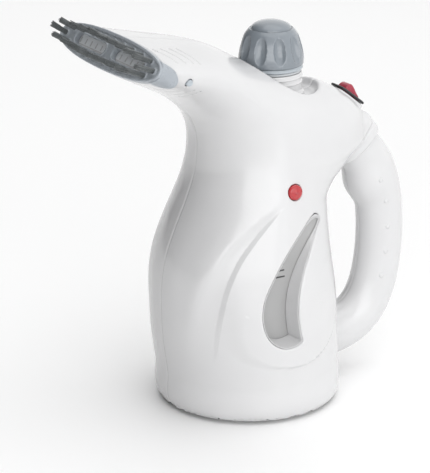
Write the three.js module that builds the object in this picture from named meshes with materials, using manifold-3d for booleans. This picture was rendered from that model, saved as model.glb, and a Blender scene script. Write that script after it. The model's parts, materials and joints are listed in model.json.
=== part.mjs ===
// Handheld garment steamer, standing on its base. Millimetres, +Z up, nozzle towards -X, handle towards +X.
// The origin is the centre of the round base on the surface it stands on; the XZ plane is the mirror plane.
import * as THREE from 'three';
import { mergeVertices } from 'three/addons/utils/BufferGeometryUtils.js';
import Module from 'manifold-3d';

const wasm = await Module();
wasm.setup();

// ---------------------------------------------------------------- driving dimensions
const GAP = 0.3; // clearance between pieces that touch
const WALL = 2.6; // moulded wall of the two shells
const RIM_Z = 1; // lower rim of the shells above the table

// Body sections are level up to FAN_Z. Above it they turn about the fan axis until they face the nozzle.
const FAN_X = -156.6;
const FAN_Z = 150;
const FAN_RATE = 2; // station length for one degree of turn
const NOZZLE_TURN = 57; // degrees from level to the nozzle's front plane
const CREST = 12; // rounding of the crest where a section is leaner than an ellipse

const BODY_RING = 32; // points round a body section
const INNER_RING = 20;
const SHELL_FRONT = NOZZLE_TURN - 1.3; // the shells stop just behind the bristle head

const NECK_X = 16; // axis of the filler neck and cap
const NECK_R = 19.5;
const NECK_BORE_R = 16;
const NECK_TOP = 214;
const RECESS_X = 18.5; // the recess round the neck is a little longer than wide
const RECESS_LONG = 1.12;
const RECESS_R = 25.5;
const RECESS_FLOOR = 199;

const CAP_RIM_Z = 218.8;
const CAP_R = 20.7;
const CAP_CROWN_Z = 241;
const CAP_CROWN_R = 14;
const CAP_TOP = 246.5;
const CAP_FLUTES = 10;
const FLUTE_PHASE = THREE.MathUtils.degToRad(-15.7);

const HANDLE_R = 16;
const HANDLE_HALF = 14.4; // half width across the steamer
const SLEEVE_R = 18.5;
const SLEEVE_HALF = 16;
const SLEEVE_POWER = 3;
const HANDLE_WALL = 2.6;

const LENS_LONG = 62.2; // half length of the lens-shaped bristle head
const LENS_SHORT = 11.8; // half height of it
const LENS_POWER = 2.35;
const NOZZLE_X = -97.9; // centre of the head's front plane
const NOZZLE_Z = 240.4;
const HEAD_PLATE = 4;
const TUFT_LENGTH = 13;
const TUFT_R = 1.7;

const WINDOW_FLOOR_Y = 48; // distance of the window panes from the mirror plane
const TANK_X = 6;
const TANK_R = 40;
const TANK_BASE = 30;
const TANK_TOP = 166;

// ---------------------------------------------------------------- materials
const finish = (color, roughness, metalness = 0, opacity = 1) =>
  new THREE.MeshStandardMaterial({ color, roughness, metalness, opacity, transparent: opacity < 1 });
const whiteGloss = finish(0xededed, 0.25);
const greyPlastic = finish(0x8c939b, 0.35);
const lightGrey = finish(0xb4b9bd, 0.4);
const darkTuft = finish(0x3a3f3f, 0.8);
const blackPlastic = finish(0x17181a, 0.4);
const redPlastic = finish(0xb23c4a, 0.35);
const redLens = finish(0xc83a3c, 0.2);
const smokedWindow = finish(0x9fa3a6, 0.15, 0, 0.5);
const clearTank = finish(0xd9dcdd, 0.2, 0, 0.4);
const rubber = finish(0x55585a, 0.85);
const castAluminium = finish(0xb8babd, 0.45, 1);
const steel = finish(0xa9adb0, 0.35, 1);
const silicone = finish(0xe6d9c4, 0.6);
const ceramic = finish(0xece7dc, 0.7);

// ---------------------------------------------------------------- scene helpers
const steamer = new THREE.Group();

function add(name, geometry, material, parent = steamer) {
  const mesh = new THREE.Mesh(geometry, material);
  mesh.name = name;
  parent.add(mesh);
  return mesh;
}

function moved(geometry, x, y, z, rx = 0, ry = 0, rz = 0) {
  const turn = new THREE.Matrix4().makeRotationFromEuler(new THREE.Euler(rx, ry, rz));
  return geometry.applyMatrix4(turn.setPosition(x, y, z));
}

// A closed mesh becomes a solid that can be joined and cut.
function solid(geometry) {
  const bare = geometry.clone();
  bare.deleteAttribute('normal');
  bare.deleteAttribute('uv');
  const merged = mergeVertices(bare, 1e-3);
  const mesh = new wasm.Mesh({
    numProp: 3,
    vertProperties: new Float32Array(merged.attributes.position.array),
    triVerts: new Uint32Array(merged.index.array),
  });
  return new wasm.Manifold(mesh);
}

function geometryOf(body) {
  const mesh = body.getMesh();
  const geometry = new THREE.BufferGeometry();
  geometry.setAttribute('position', new THREE.BufferAttribute(new Float32Array(mesh.vertProperties), 3));
  geometry.setIndex(new THREE.BufferAttribute(new Uint32Array(mesh.triVerts), 1));
  geometry.computeVertexNormals();
  return geometry;
}

const joined = (first, ...rest) => rest.reduce((sum, next) => sum.add(next), first);
const cut = (first, ...rest) => rest.reduce((left, next) => left.subtract(next), first);

// A cylinder along +Z from z = low to z = high.
function post(radius, low, high, x = 0, y = 0, segments = 20, topRadius = radius) {
  const shape = new THREE.CylinderGeometry(topRadius, radius, high - low, segments);
  return moved(shape, x, y, (low + high) / 2, Math.PI / 2);
}

// A cylinder along +Y.
const crossPost = (radius, low, high, x, z, segments = 16) =>
  new THREE.CylinderGeometry(radius, radius, high - low, segments).translate(x, (low + high) / 2, z);

const block = (x0, x1, y0, y1, z0, z1) =>
  new THREE.BoxGeometry(x1 - x0, y1 - y0, z1 - z0).translate((x0 + x1) / 2, (y0 + y1) / 2, (z0 + z1) / 2);

// A profile of [radius, z] pairs turned about a vertical axis.
function turned(profile, x = 0, segments = 32) {
  const points = profile.map(([r, z]) => new THREE.Vector2(r, z));
  return moved(new THREE.LatheGeometry(points, segments), x, 0, 0, Math.PI / 2);
}

function ring(outer, inner, low, high, x = 0, segments = 28) {
  return turned([[inner, low], [outer, low], [outer, high], [inner, high], [inner, low]], x, segments);
}

function outlineShape(points) {
  const shape = new THREE.Shape();
  shape.setFromPoints(points.map(([a, b]) => new THREE.Vector2(a, b)));
  return shape;
}

// An outline in X and Z, extruded along Y from y = low to y = high.
function sidePrism(points, low, high) {
  const prism = new THREE.ExtrudeGeometry(outlineShape(points), { depth: high - low, bevelEnabled: false });
  return moved(prism, 0, high, 0, Math.PI / 2);
}

function sweep(path, section, steps, hole = null) {
  const shape = outlineShape(section);
  if (hole) shape.holes.push(new THREE.Path(hole.map(([a, b]) => new THREE.Vector2(a, b))));
  return new THREE.ExtrudeGeometry(shape, { steps, extrudePath: path, bevelEnabled: false });
}

// A closed outline of half sizes a and b: an ellipse, or squarer where the power is above 2.
function oval(a, b, count, power = 2) {
  const bent = (v) => Math.sign(v) * Math.abs(v) ** (2 / power);
  return Array.from({ length: count }, (_, i) => {
    const angle = (i / count) * 2 * Math.PI;
    return [a * bent(Math.cos(angle)), b * bent(Math.sin(angle))];
  });
}

const circle = (radius, count) => oval(radius, radius, count);

const onMirrorPlane = ([x, z]) => new THREE.Vector3(x, 0, z);
const curveOf = (points) => new THREE.CatmullRomCurve3(points.map(onMirrorPlane));

// ---------------------------------------------------------------- body surface
// Level stations: height, front X, rear X, centre X, half width, power of the rear half.
const LEVEL_STATIONS = [
  [0, -55.5, 55.5, 0, 55.5, 2],
  [5, -58.8, 58.8, 0, 58.8, 2],
  [25, -60.4, 58.4, -1, 59.6, 2],
  [50, -63.8, 57, -3.2, 60.6, 2],
  [75, -64.8, 55.4, -4.6, 60, 2],
  [101, -61.8, 51.8, -4.4, 56.8, 2],
  [121, -54.4, 50, -2.4, 53.2, 2],
  [134, -48.4, 49.6, -0.6, 50.8, 2],
  [142, -45, 54, 0.8, 49.2, 1.95],
  [150, -42, 64, 2, 47.4, 1.9],
];
// Turned stations: degrees, near and far distance from the fan axis, centre, half width, power.
const TURNED_STATIONS = [
  [2, 115.9, 230, 158.8, 46.4, 1.87],
  [4, 117.2, 240.5, 159, 45.4, 1.85],
  [7, 118.6, 240, 160, 44.2, 1.8],
  [12.6, 121, 222.6, 159, 42.4, 1.65],
  [16, 121.6, 206.8, 156, 41.6, 1.55],
  [20, 120.8, 189.5, 151, 41.6, 1.55],
  [27, 115.6, 166.5, 142, 43.4, 1.7],
  [35, 107.8, 152.5, 130.5, 47.4, 2],
  [45, 100, 133.5, 117, 53.6, 2.2],
  [52, 97.4, 123.8, 110.6, 58.2, 2.3],
  [57, 97.4, 118.4, 107.9, 60, 2.35],
];
const stations = [
  ...LEVEL_STATIONS.map(([t, front, rear, centre, half, power]) => [
    t, front - FAN_X, rear - FAN_X, centre - FAN_X, half, power,
  ]),
  ...TURNED_STATIONS.map(([turn, ...rest]) => [FAN_Z + FAN_RATE * turn, ...rest]),
];

function slopeAt(i, k) {
  const rise = (a, b) => (stations[b][k] - stations[a][k]) / (stations[b][0] - stations[a][0]);
  const before = i > 0 ? rise(i - 1, i) : null;
  const last = stations.length - 1;
  const after = i < last ? rise(i, i + 1) : null;
  if (before === null || after === null) return before ?? after;
  if (before * after <= 0) return 0;
  const spanAfter = stations[i + 1][0] - stations[i][0];
  const spanBefore = stations[i][0] - stations[i - 1][0];
  return (before * spanAfter + after * spanBefore) / (spanAfter + spanBefore);
}

// Section sizes at station t, on a smooth curve through the stations.
function sectionAt(t) {
  const i = Math.max(0, stations.findLastIndex((row, n) => row[0] <= t && n < stations.length - 1));
  const span = stations[i + 1][0] - stations[i][0];
  const u = (t - stations[i][0]) / span;
  const [h00, h10] = [2 * u ** 3 - 3 * u ** 2 + 1, u ** 3 - 2 * u ** 2 + u];
  const [h01, h11] = [3 * u ** 2 - 2 * u ** 3, u ** 3 - u ** 2];
  return [1, 2, 3, 4, 5].map((k) => {
    const low = h00 * stations[i][k] + h10 * span * slopeAt(i, k);
    const high = h01 * stations[i + 1][k] + h11 * span * slopeAt(i + 1, k);
    return low + high;
  });
}

// A point that lies s from the fan axis in the section plane of station t.
function placeInPlane(t, s, y) {
  if (t <= FAN_Z) return new THREE.Vector3(FAN_X + s, y, t);
  const turn = THREE.MathUtils.degToRad((t - FAN_Z) / FAN_RATE);
  return new THREE.Vector3(FAN_X + s * Math.cos(turn), y, FAN_Z + s * Math.sin(turn));
}

function bodySection(t, inset, count) {
  const [front, rear, centre, half, power] = sectionAt(t);
  return Array.from({ length: count }, (_, i) => {
    const angle = (i / count) * 2 * Math.PI;
    const side = Math.abs(Math.sin(angle));
    const width = half - inset;
    const rearward = Math.cos(angle) > 0;
    const n = rearward ? power : Math.max(2, power);
    const round = rearward ? CREST * Math.max(0, 2 - power) : 0;
    const eased = (side * side * (width + round)) / (side * width + round || 1);
    const reach = (1 - Math.min(1, eased) ** n) ** (1 / n);
    const along = rearward ? rear - centre - inset : -(centre - front - inset);
    return placeInPlane(t, centre + along * reach, Math.sign(Math.sin(angle)) * side * width);
  });
}

// Closed skin over a list of rings of equal length, with flat ends.
function loft(rings) {
  const count = rings[0].length;
  const positions = rings.flat();
  const centres = [rings[0], rings[rings.length - 1]].map((points) =>
    points.reduce((sum, p) => sum.add(p), new THREE.Vector3()).divideScalar(count),
  );
  const index = [];
  for (let r = 0; r < rings.length - 1; r++) {
    for (let i = 0; i < count; i++) {
      const [a, b] = [r * count + i, r * count + ((i + 1) % count)];
      index.push(a, b, b + count, a, b + count, a + count);
    }
  }
  const [bottom, top] = [positions.length, positions.length + 1];
  const lastRing = (rings.length - 1) * count;
  for (let i = 0; i < count; i++) {
    const next = (i + 1) % count;
    index.push(bottom, next, i);
    index.push(top, lastRing + i, lastRing + next);
  }
  const geometry = new THREE.BufferGeometry().setFromPoints([...positions, ...centres]);
  geometry.setIndex(index);
  return geometry;
}

const NOZZLE_T = FAN_Z + FAN_RATE * SHELL_FRONT;
const outerStations = [
  RIM_Z, 3, 6, 25, 45, 62, 80, 98, 112, 122, 128, 133, 139, 145, 150, 157, 164, 171, 178, 186, 195, 205, 216,
  228, 240, 252, NOZZLE_T,
];
const innerStations = [28, 50, 75, 100, 122, 135, 148, 160, 172, 185, 200, 220, 240, NOZZLE_T + 2];

const bodySkin = (inset = 0, extra = []) =>
  loft([...outerStations, ...extra].map((t) => bodySection(t, inset, BODY_RING)));
const bodyOuter = (inset = 0) => solid(bodySkin(inset));

function bodyInner() {
  const rings = innerStations.map((t) => bodySection(t, WALL, INNER_RING));
  const level = (z) => bodySection(6, WALL, INNER_RING).map((p) => new THREE.Vector3(p.x, p.y, z));
  return solid(loft([level(RIM_Z - 2), level(12), ...rings]));
}

// ---------------------------------------------------------------- handle
const SLEEVE_TOP = [70, 168.4];
const SLEEVE_END = [79.3, 156.8];
const HANDLE_PATH = [
  [67, 172], SLEEVE_END, [87.6, 147], [94.6, 136.2], [98.9, 122], [101.2, 105], [101.4, 90], [100, 73.6],
  [96.4, 57.4], [89.3, 43.6], [78.4, 34.4], [65, 30], [50, 29],
];
const THUMB_REST = [88, 130.5]; // centre of the swelling on the handle's inner side
const THUMB_R = 12.8;
const handleCurve = curveOf(HANDLE_PATH);
const sleeveCurve = new THREE.LineCurve3(onMirrorPlane(SLEEVE_TOP), onMirrorPlane(SLEEVE_END));
const handleOuter = () => solid(sweep(handleCurve, oval(HANDLE_HALF, HANDLE_R, 14), 22));
const handleInner = () =>
  solid(sweep(handleCurve, oval(HANDLE_HALF - HANDLE_WALL, HANDLE_R - HANDLE_WALL, 8), 16));
const sleeveOuter = () => solid(sweep(sleeveCurve, oval(SLEEVE_HALF, SLEEVE_R, 20, SLEEVE_POWER), 1));
const thumbRest = () => {
  const centre = onMirrorPlane(THUMB_REST);
  return solid(new THREE.SphereGeometry(THUMB_R, 14, 10).translate(...centre));
};

// ---------------------------------------------------------------- nozzle frame
// Local axes of the nozzle: X out of the front, Y across, Z down the lens's short side.
const nozzle = new THREE.Group();
nozzle.position.set(NOZZLE_X, 0, NOZZLE_Z);
nozzle.rotation.y = Math.PI + THREE.MathUtils.degToRad(90 - NOZZLE_TURN);
steamer.add(nozzle);
nozzle.updateMatrixWorld(true);
const toNozzle = nozzle.matrixWorld.clone().invert();

// Lens outline: a flattened oval with blunt ends, as [y, z] pairs.
function lensOutline(endInset, count = 40, sideInset = endInset) {
  return Array.from({ length: count }, (_, i) => {
    const angle = (i / count) * 2 * Math.PI;
    const along = Math.cos(angle);
    const across = Math.sign(Math.sin(angle)) * lensHeight(along);
    return [along * (LENS_LONG - endInset), across * (LENS_SHORT - sideInset)];
  });
}

// Height of the lens, from 0 to 1, at a share of its half length.
const lensHeight = (share) => Math.max(0, 1 - Math.abs(share) ** LENS_POWER) ** (1 / LENS_POWER);

// An outline in the nozzle's local Y and Z, from x = low to x = high.
function lensPrism(points, low, high) {
  const prism = new THREE.ExtrudeGeometry(outlineShape(points), { depth: high - low, bevelEnabled: false });
  const basis = new THREE.Matrix4().makeBasis(
    new THREE.Vector3(0, 1, 0), new THREE.Vector3(0, 0, 1), new THREE.Vector3(1, 0, 0),
  );
  return prism.applyMatrix4(basis.setPosition(low, 0, 0));
}

// ---------------------------------------------------------------- water window
// Teardrop in X and Z: pointed top at the rear, full round bottom at the front.
const WINDOW_POINTS = [
  [20.6, 131.2], [23.8, 128.8], [22.6, 124], [14.5, 111], [7, 98], [2.6, 86], [0.8, 72], [3, 53.6], [-9, 51],
  [-18.8, 56.6], [-24, 69], [-22.8, 82], [-15.2, 97], [-4.4, 111.6], [9, 124.5], [17, 130.4],
];

function windowOutline(inset) {
  return WINDOW_POINTS.map(([x, z], i) => {
    const [px, pz] = WINDOW_POINTS.at(i - 1);
    const [nx, nz] = WINDOW_POINTS[(i + 1) % WINDOW_POINTS.length];
    const along = new THREE.Vector2(nx - px, nz - pz).normalize();
    return [x + along.y * inset, z - along.x * inset];
  });
}

// ---------------------------------------------------------------- shells
// Each shell screw: X, Z, and how far its head stands from the mirror plane.
const SHELL_SCREWS = [[100.6, 109, 11.5], [99.8, 75, 11.5], [-49, 62, 32], [46, 160, 31.5]];
const SCREW_R = 3.1;
const NOZZLE_STUD = [-73.8, 230.2];
const LENS_SPOT = [4.7, 148];
const LENS_R = 4.9;
const SWITCH_CENTRE = new THREE.Vector3(74.2, 0, 190.3);
const SWITCH_TURN = THREE.MathUtils.degToRad(38);
// Half sizes of the rocker switch: its bezel, its housing and the well the rocker moves in.
const BEZEL_X = 10.6;
const BEZEL_Y = 7.6;
const BEZEL_HIGH = 1.3;
const HOUSING_X = 9.1;
const HOUSING_Y = 6.1;
const WELL_X = 7.8;
const WELL_Y = 5;
const SEAT_DEPTH = 0.7; // the bezel's seat in the shell
const SEAT_MARGIN = 0.7;
const INLET_Z = 8;
const INLET_R = 4.4;

const switchGroup = new THREE.Group();
switchGroup.position.copy(SWITCH_CENTRE);
switchGroup.rotation.y = SWITCH_TURN;
steamer.add(switchGroup);
switchGroup.updateMatrixWorld(true);
const switchWorld = (geometry) => geometry.clone().applyMatrix4(switchGroup.matrixWorld);
const switchBlock = (halfX, halfY, low, high) => block(-halfX, halfX, -halfY, halfY, low, high);

// The space of the neck's recess, grown all round and from a given height up.
const recess = (grow, low) =>
  solid(post(RECESS_R + grow, low, 260, 0, 0, 32).scale(RECESS_LONG, 1, 1).translate(RECESS_X, 0, 0));

function wholeShell() {
  const pad = solid(switchWorld(switchBlock(BEZEL_X + GAP, BEZEL_Y + GAP, -14, -1)));
  const outer = joined(bodyOuter(), handleOuter(), thumbRest(), sleeveOuter(), pad);
  const hollow = joined(bodyInner(), handleInner());
  const inletHole = new THREE.CylinderGeometry(INLET_R + GAP, INLET_R + GAP, 20, 16);
  const openings = [
    recess(0, RECESS_FLOOR),
    solid(post(NECK_R + GAP, RECESS_FLOOR - 12, 260, NECK_X, 0, 28)),
    solid(switchWorld(switchBlock(HOUSING_X + GAP, HOUSING_Y + GAP, -30, 5))),
    solid(switchWorld(switchBlock(BEZEL_X + SEAT_MARGIN, BEZEL_Y + SEAT_MARGIN, -SEAT_DEPTH, 12))),
    solid(crossPost(2.4, -70, 70, ...NOZZLE_STUD, 12)),
    solid(crossPost(LENS_R + GAP, -70, -30, ...LENS_SPOT, 20)),
    solid(sidePrism(windowOutline(0), -70, -42)),
    solid(sidePrism(windowOutline(0), 42, 70)),
    solid(moved(inletHole, 58, 0, INLET_Z, 0, 0, Math.PI / 2)),
    ...SHELL_SCREWS.map(([x, z]) => solid(crossPost(SCREW_R + GAP, 4, 70, x, z, 12))),
  ];
  const floor = cut(recess(3, RECESS_FLOOR - 3), recess(4, RECESS_FLOOR));
  const neckHole = solid(post(NECK_R + GAP, 150, 260, NECK_X, 0, 28));
  const recessFloor = cut(floor.intersect(bodyOuter(0.4)), neckHole);
  const recessWall = cut(
    recess(2, RECESS_FLOOR - 3).intersect(bodyOuter()),
    recess(0, RECESS_FLOOR - 4),
  );
  return joined(cut(outer, hollow, ...openings), recessFloor, recessWall);
}

function addShells() {
  const shell = wholeShell();
  const leftSpace = solid(block(-200, 200, -200, -GAP / 2, -50, 400));
  const rightSpace = solid(block(-200, 200, GAP / 2, 200, -50, 400));
  add('body_shell_left', geometryOf(shell.intersect(leftSpace)), whiteGloss);
  add('body_shell_right', geometryOf(shell.intersect(rightSpace)), whiteGloss);
  SHELL_SCREWS.forEach(([x, z, head], i) => {
    add(`shell_screw_${i + 1}`, crossPost(SCREW_R, head - 9, head, x, z, 12), steel);
  });
}

// ---------------------------------------------------------------- base
const FOOT_SPREAD = 31;
const BASE_SCREW_TURNS = [60, 180, 300];
const BASE_SCREW_SPREAD = 34;

function addBase() {
  const cover = cut(
    solid(post(55.2, 1.6, 4.4, 0, 0, 40)),
    solid(block(50.5, 60, -6, 6, 0, 6)), // notch for the cord inlet
    ...BASE_SCREW_TURNS.map((a) => solid(basePost(3.4, 1, 6, a))),
  );
  add('base_cover', geometryOf(cover), whiteGloss);
  BASE_SCREW_TURNS.forEach((a, i) => add(`base_screw_${i + 1}`, basePost(3.1, 2.4, 12, a), steel));
  [[1, 1], [-1, 1], [-1, -1], [1, -1]].forEach(([sx, sy], i) => {
    add(`foot_${i + 1}`, post(5.5, 0, 1.3, sx * FOOT_SPREAD, sy * FOOT_SPREAD, 20), rubber);
  });
}

function basePost(radius, low, high, degrees) {
  const a = THREE.MathUtils.degToRad(degrees);
  return post(radius, low, high, BASE_SCREW_SPREAD * Math.cos(a), BASE_SCREW_SPREAD * Math.sin(a), 12);
}

// ---------------------------------------------------------------- boiler
function addBoiler() {
  const z = TANK_BASE;
  const shape = [
    [TANK_R - 2, z], [TANK_R + 3, z], [TANK_R + 3, z + 2.5], [TANK_R, z + 2.5], [TANK_R, 118],
    [TANK_R - 9, 150], [TANK_R - 12, TANK_TOP], [14, TANK_TOP], [14, TANK_TOP - 2],
    [TANK_R - 14, TANK_TOP - 2], [TANK_R - 11, 149], [TANK_R - 2, 117], [TANK_R - 2, z],
  ];
  const tank = cut(solid(turned(shape, TANK_X, 36)), solid(post(5.3, 150, 170, -14, 0, 12)));
  add('water_tank', geometryOf(tank), clearTank);
  add('tank_gasket', ring(TANK_R + 3, TANK_R - 3, z - 2.3, z - GAP, TANK_X), silicone);
  const plate = turned([[0, z - 5], [TANK_R + 2, z - 5], [TANK_R + 2, z - 2.6], [0, z - 2.6]], TANK_X, 36);
  add('heater_plate', plate, castAluminium);
  const arc = new THREE.CatmullRomCurve3(
    Array.from({ length: 11 }, (_, i) => {
      const a = THREE.MathUtils.degToRad(30 + 30 * i);
      return new THREE.Vector3(TANK_X + 27 * Math.cos(a), 27 * Math.sin(a), z - 8.8);
    }),
  );
  add('heating_element', sweep(arc, circle(3.3, 8), 24), steel);
  add('thermostat', post(8, z - 14, z - 5.4, TANK_X, 0, 20), ceramic);
  const fuse = new THREE.CapsuleGeometry(2.4, 12, 3, 10);
  add('thermal_fuse', moved(fuse, TANK_X, 15, z - 8, 0, 0, Math.PI / 2), ceramic);
  add('terminal_block', block(36, 50, -9, 9, 6.5, 15.5), blackPlastic);
}

// ---------------------------------------------------------------- cord inlet
function addInlet() {
  const profile = [[3.2, 51], [INLET_R, 51], [INLET_R, 59.6], [5.2, 59.6], [5.2, 62], [3.2, 62], [3.2, 51]];
  const gland = new THREE.LatheGeometry(profile.map(([r, x]) => new THREE.Vector2(r, x)), 20);
  add('cord_inlet', moved(gland, 0, 0, INLET_Z, 0, 0, -Math.PI / 2), blackPlastic);
}

// ---------------------------------------------------------------- steam path
const STEAM_PATH = [[-14, 152], [-14, 172], [-17, 188], [-30, 206], [-50, 219], [-70, 227], [-84.6, 232.5]];
const STEAM_PORT_R = 3.4;

function addSteamPath() {
  const path = curveOf(STEAM_PATH);
  add('steam_tube', sweep(path, circle(4.8, 10), 16, circle(3, 8)), silicone);
  [0.22, 0.9].forEach((u, i) => {
    const at = path.getPointAt(u);
    const way = path.getTangentAt(u);
    const options = { depth: 3, bevelEnabled: false, curveSegments: 10 };
    const clamp = new THREE.ExtrudeGeometry(ringShape(6.8, 5.5), options);
    const turn = new THREE.Quaternion().setFromUnitVectors(new THREE.Vector3(0, 0, 1), way);
    clamp.applyQuaternion(turn).translate(at.x, at.y, at.z);
    add(`tube_clamp_${i + 1}`, clamp, steel);
  });
  const box = solid(lensPrism(lensOutline(15, 28, 5.8), -14, -5.4));
  const pocket = solid(lensPrism(lensOutline(17, 24, 7.6), -12, 0));
  const port = new THREE.CylinderGeometry(STEAM_PORT_R, STEAM_PORT_R, 10, 10);
  moved(port, -14, 0, 0, 0, 0, Math.PI / 2);
  add('steam_chamber', geometryOf(cut(box, pocket, solid(port))), lightGrey, nozzle);
  add('steam_plate', steamPlate(), lightGrey, nozzle);
  for (const side of [-1, 1]) {
    const y = side * 53.6;
    const stud = crossPost(2.1, Math.min(y, y + side * -6), Math.max(y, y + side * -6), ...NOZZLE_STUD, 12);
    add(side < 0 ? 'nozzle_stud_left' : 'nozzle_stud_right', stud, lightGrey);
  }
}

function ringShape(outer, inner) {
  const shape = new THREE.Shape().absarc(0, 0, outer, 0, 2 * Math.PI);
  shape.holes.push(new THREE.Path().absarc(0, 0, inner, 0, 2 * Math.PI));
  return shape;
}

// Plate with a row of upright steam slits in each slot of the bristle head.
const SLIT_PITCH = 6.6;
const SLITS_A_SIDE = 6;
const SLIT_HALF = 0.8;
const SLIT_LONG = 1.8;

function steamPlate() {
  const plate = solid(lensPrism(lensOutline(9, 32, 5.4), -5, -2.4));
  const slits = [];
  for (const side of [-1, 1]) {
    for (let i = 0; i < SLITS_A_SIDE; i++) {
      const y = side * (9 + i * SLIT_PITCH);
      slits.push(solid(block(-8, 1, y - SLIT_HALF, y + SLIT_HALF, -SLIT_LONG, SLIT_LONG)));
    }
  }
  return geometryOf(cut(plate, ...slits));
}

// ---------------------------------------------------------------- bristle head
const SLOT_HALF = 3.6;
const SLOT_NEAR = 4.5;
const SLOT_FAR = 43;
const TUFT_ROWS = 9;
const TUFT_PITCH = 12;
const TUFT_INSET = 5.2;
const TAB_START = 50; // the clip tabs wrap both ends of the nozzle
const TAB_LENGTH = 13;
const TAB_HALF = 7.8;
const TAB_WALL = 2.3;
const TAB_CLEARANCE = 1;

function slots(halfHeight, near, far, low, high) {
  return [-1, 1].map((side) => {
    const [y0, y1] = side < 0 ? [-far, -near] : [near, far];
    return solid(block(low, high, y0, y1, -halfHeight, halfHeight));
  });
}

function addBristleHead() {
  const plate = solid(lensPrism(lensOutline(0, 40), -2, 2));
  const channel = solid(lensPrism(lensOutline(2.2, 32), 1.1, 5));
  const skin = (inset, end) => solid(bodySkin(inset, [end]).applyMatrix4(toNozzle));
  const reach = [-1, 1].map((side) => {
    const [y0, y1] = side < 0 ? [-70, -TAB_START] : [TAB_START, 70];
    return solid(block(-TAB_LENGTH, -1, y0, y1, -TAB_HALF, TAB_HALF));
  });
  // The rim's outline, run straight back, clears the tabs' inner faces, so the head slides off forwards.
  const rimOutline = bodySection(NOZZLE_T, -GAP - 0.6, 40).map((p) => p.applyMatrix4(toNozzle));
  const rim = rimOutline.map((p) => [p.y, p.z]);
  const behindPlate = solid(lensPrism(lensOutline(0, 40), -TAB_LENGTH, -1));
  const envelope = joined(skin(-TAB_WALL, NOZZLE_T + 3), behindPlate);
  const tabs = cut(
    envelope.intersect(joined(...reach)),
    skin(-TAB_CLEARANCE, NOZZLE_T + 0.5),
    solid(lensPrism(rim, -TAB_LENGTH - 5, 0)),
  );
  const frame = cut(joined(plate, tabs), channel, ...slots(SLOT_HALF, SLOT_NEAR, SLOT_FAR, -5, 5));
  add('bristle_head_frame', geometryOf(frame), greyPlastic, nozzle);
  const bed = cut(
    solid(lensPrism(lensOutline(2.6, 32), 1.4, 2.2)),
    ...slots(SLOT_HALF + 0.4, SLOT_NEAR - 0.4, SLOT_FAR + 0.4, -5, 5),
  );
  const tufts = tuftSpots().map(([y, z]) => {
    const tuft = new THREE.CylinderGeometry(TUFT_R, TUFT_R, TUFT_LENGTH + 0.4, 6);
    return solid(moved(tuft, 1.8 + TUFT_LENGTH / 2, y, z, 0, 0, -Math.PI / 2));
  });
  add('bristle_tufts', geometryOf(joined(bed, ...tufts)), darkTuft, nozzle);
}

// Tufts stand in two rows along the slots, with one more at each end.
function tuftSpots() {
  const spots = [[-55, 0], [55, 0]];
  for (const row of [-1, 1]) {
    for (let i = 0; i < TUFT_ROWS; i++) {
      const y = (i - (TUFT_ROWS - 1) / 2) * TUFT_PITCH;
      spots.push([y, row * (LENS_SHORT - TUFT_INSET) * lensHeight(y / LENS_LONG)]);
    }
  }
  return spots;
}

// ---------------------------------------------------------------- switch and indicator
function addSwitch() {
  const well = (low, high) => solid(switchBlock(WELL_X, WELL_Y, low, high));
  const bezel = cut(solid(switchBlock(BEZEL_X, BEZEL_Y, -GAP, BEZEL_HIGH)), well(-5, 5));
  add('switch_bezel', geometryOf(bezel), blackPlastic, switchGroup);
  const housing = cut(solid(switchBlock(HOUSING_X, HOUSING_Y, -16, -SEAT_DEPTH)), well(-9.5, 3));
  add('switch_body', geometryOf(housing), blackPlastic, switchGroup);
  const side = [
    [-7, -1], [-6.2, 4.2], [-4.4, 5.9], [-2.2, 5.6], [2.4, 3.6], [6.4, 1.5], [5.9, -5], [0, -6.4],
    [-5.9, -5.5],
  ];
  add('switch_rocker', sidePrism(side, -WELL_Y + GAP, WELL_Y - GAP), redPlastic, switchGroup);
}

function addIndicator() {
  const dome = [[0, 0], [LENS_R, 0], [LENS_R, 3.4], [3.6, 4.3], [1.8, 4.8], [0, 4.95]];
  const lens = new THREE.LatheGeometry(dome.map(([r, h]) => new THREE.Vector2(r, h)), 20);
  add('indicator_lens', moved(lens, LENS_SPOT[0], -44.6, LENS_SPOT[1], Math.PI), redLens);
  add('indicator_lamp', crossPost(3, -44.2, -36, ...LENS_SPOT, 12), ceramic);
}

function addWindows() {
  const hull = bodyOuter(GAP);
  for (const side of [-1, 1]) {
    const hand = side < 0 ? 'left' : 'right';
    const span = (near, far) => (side < 0 ? [-far, -near] : [near, far]);
    const sleeve = cut(
      solid(sidePrism(windowOutline(GAP), ...span(WINDOW_FLOOR_Y - 0.8, 70))),
      solid(sidePrism(windowOutline(1.8), ...span(40, 72))),
    );
    add(`window_sleeve_${hand}`, geometryOf(sleeve.intersect(hull)), lightGrey);
    const pane = solid(sidePrism(windowOutline(GAP), ...span(WINDOW_FLOOR_Y - 3, WINDOW_FLOOR_Y - 1.1)));
    add(`water_window_${hand}`, geometryOf(pane), smokedWindow);
  }
}

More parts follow.
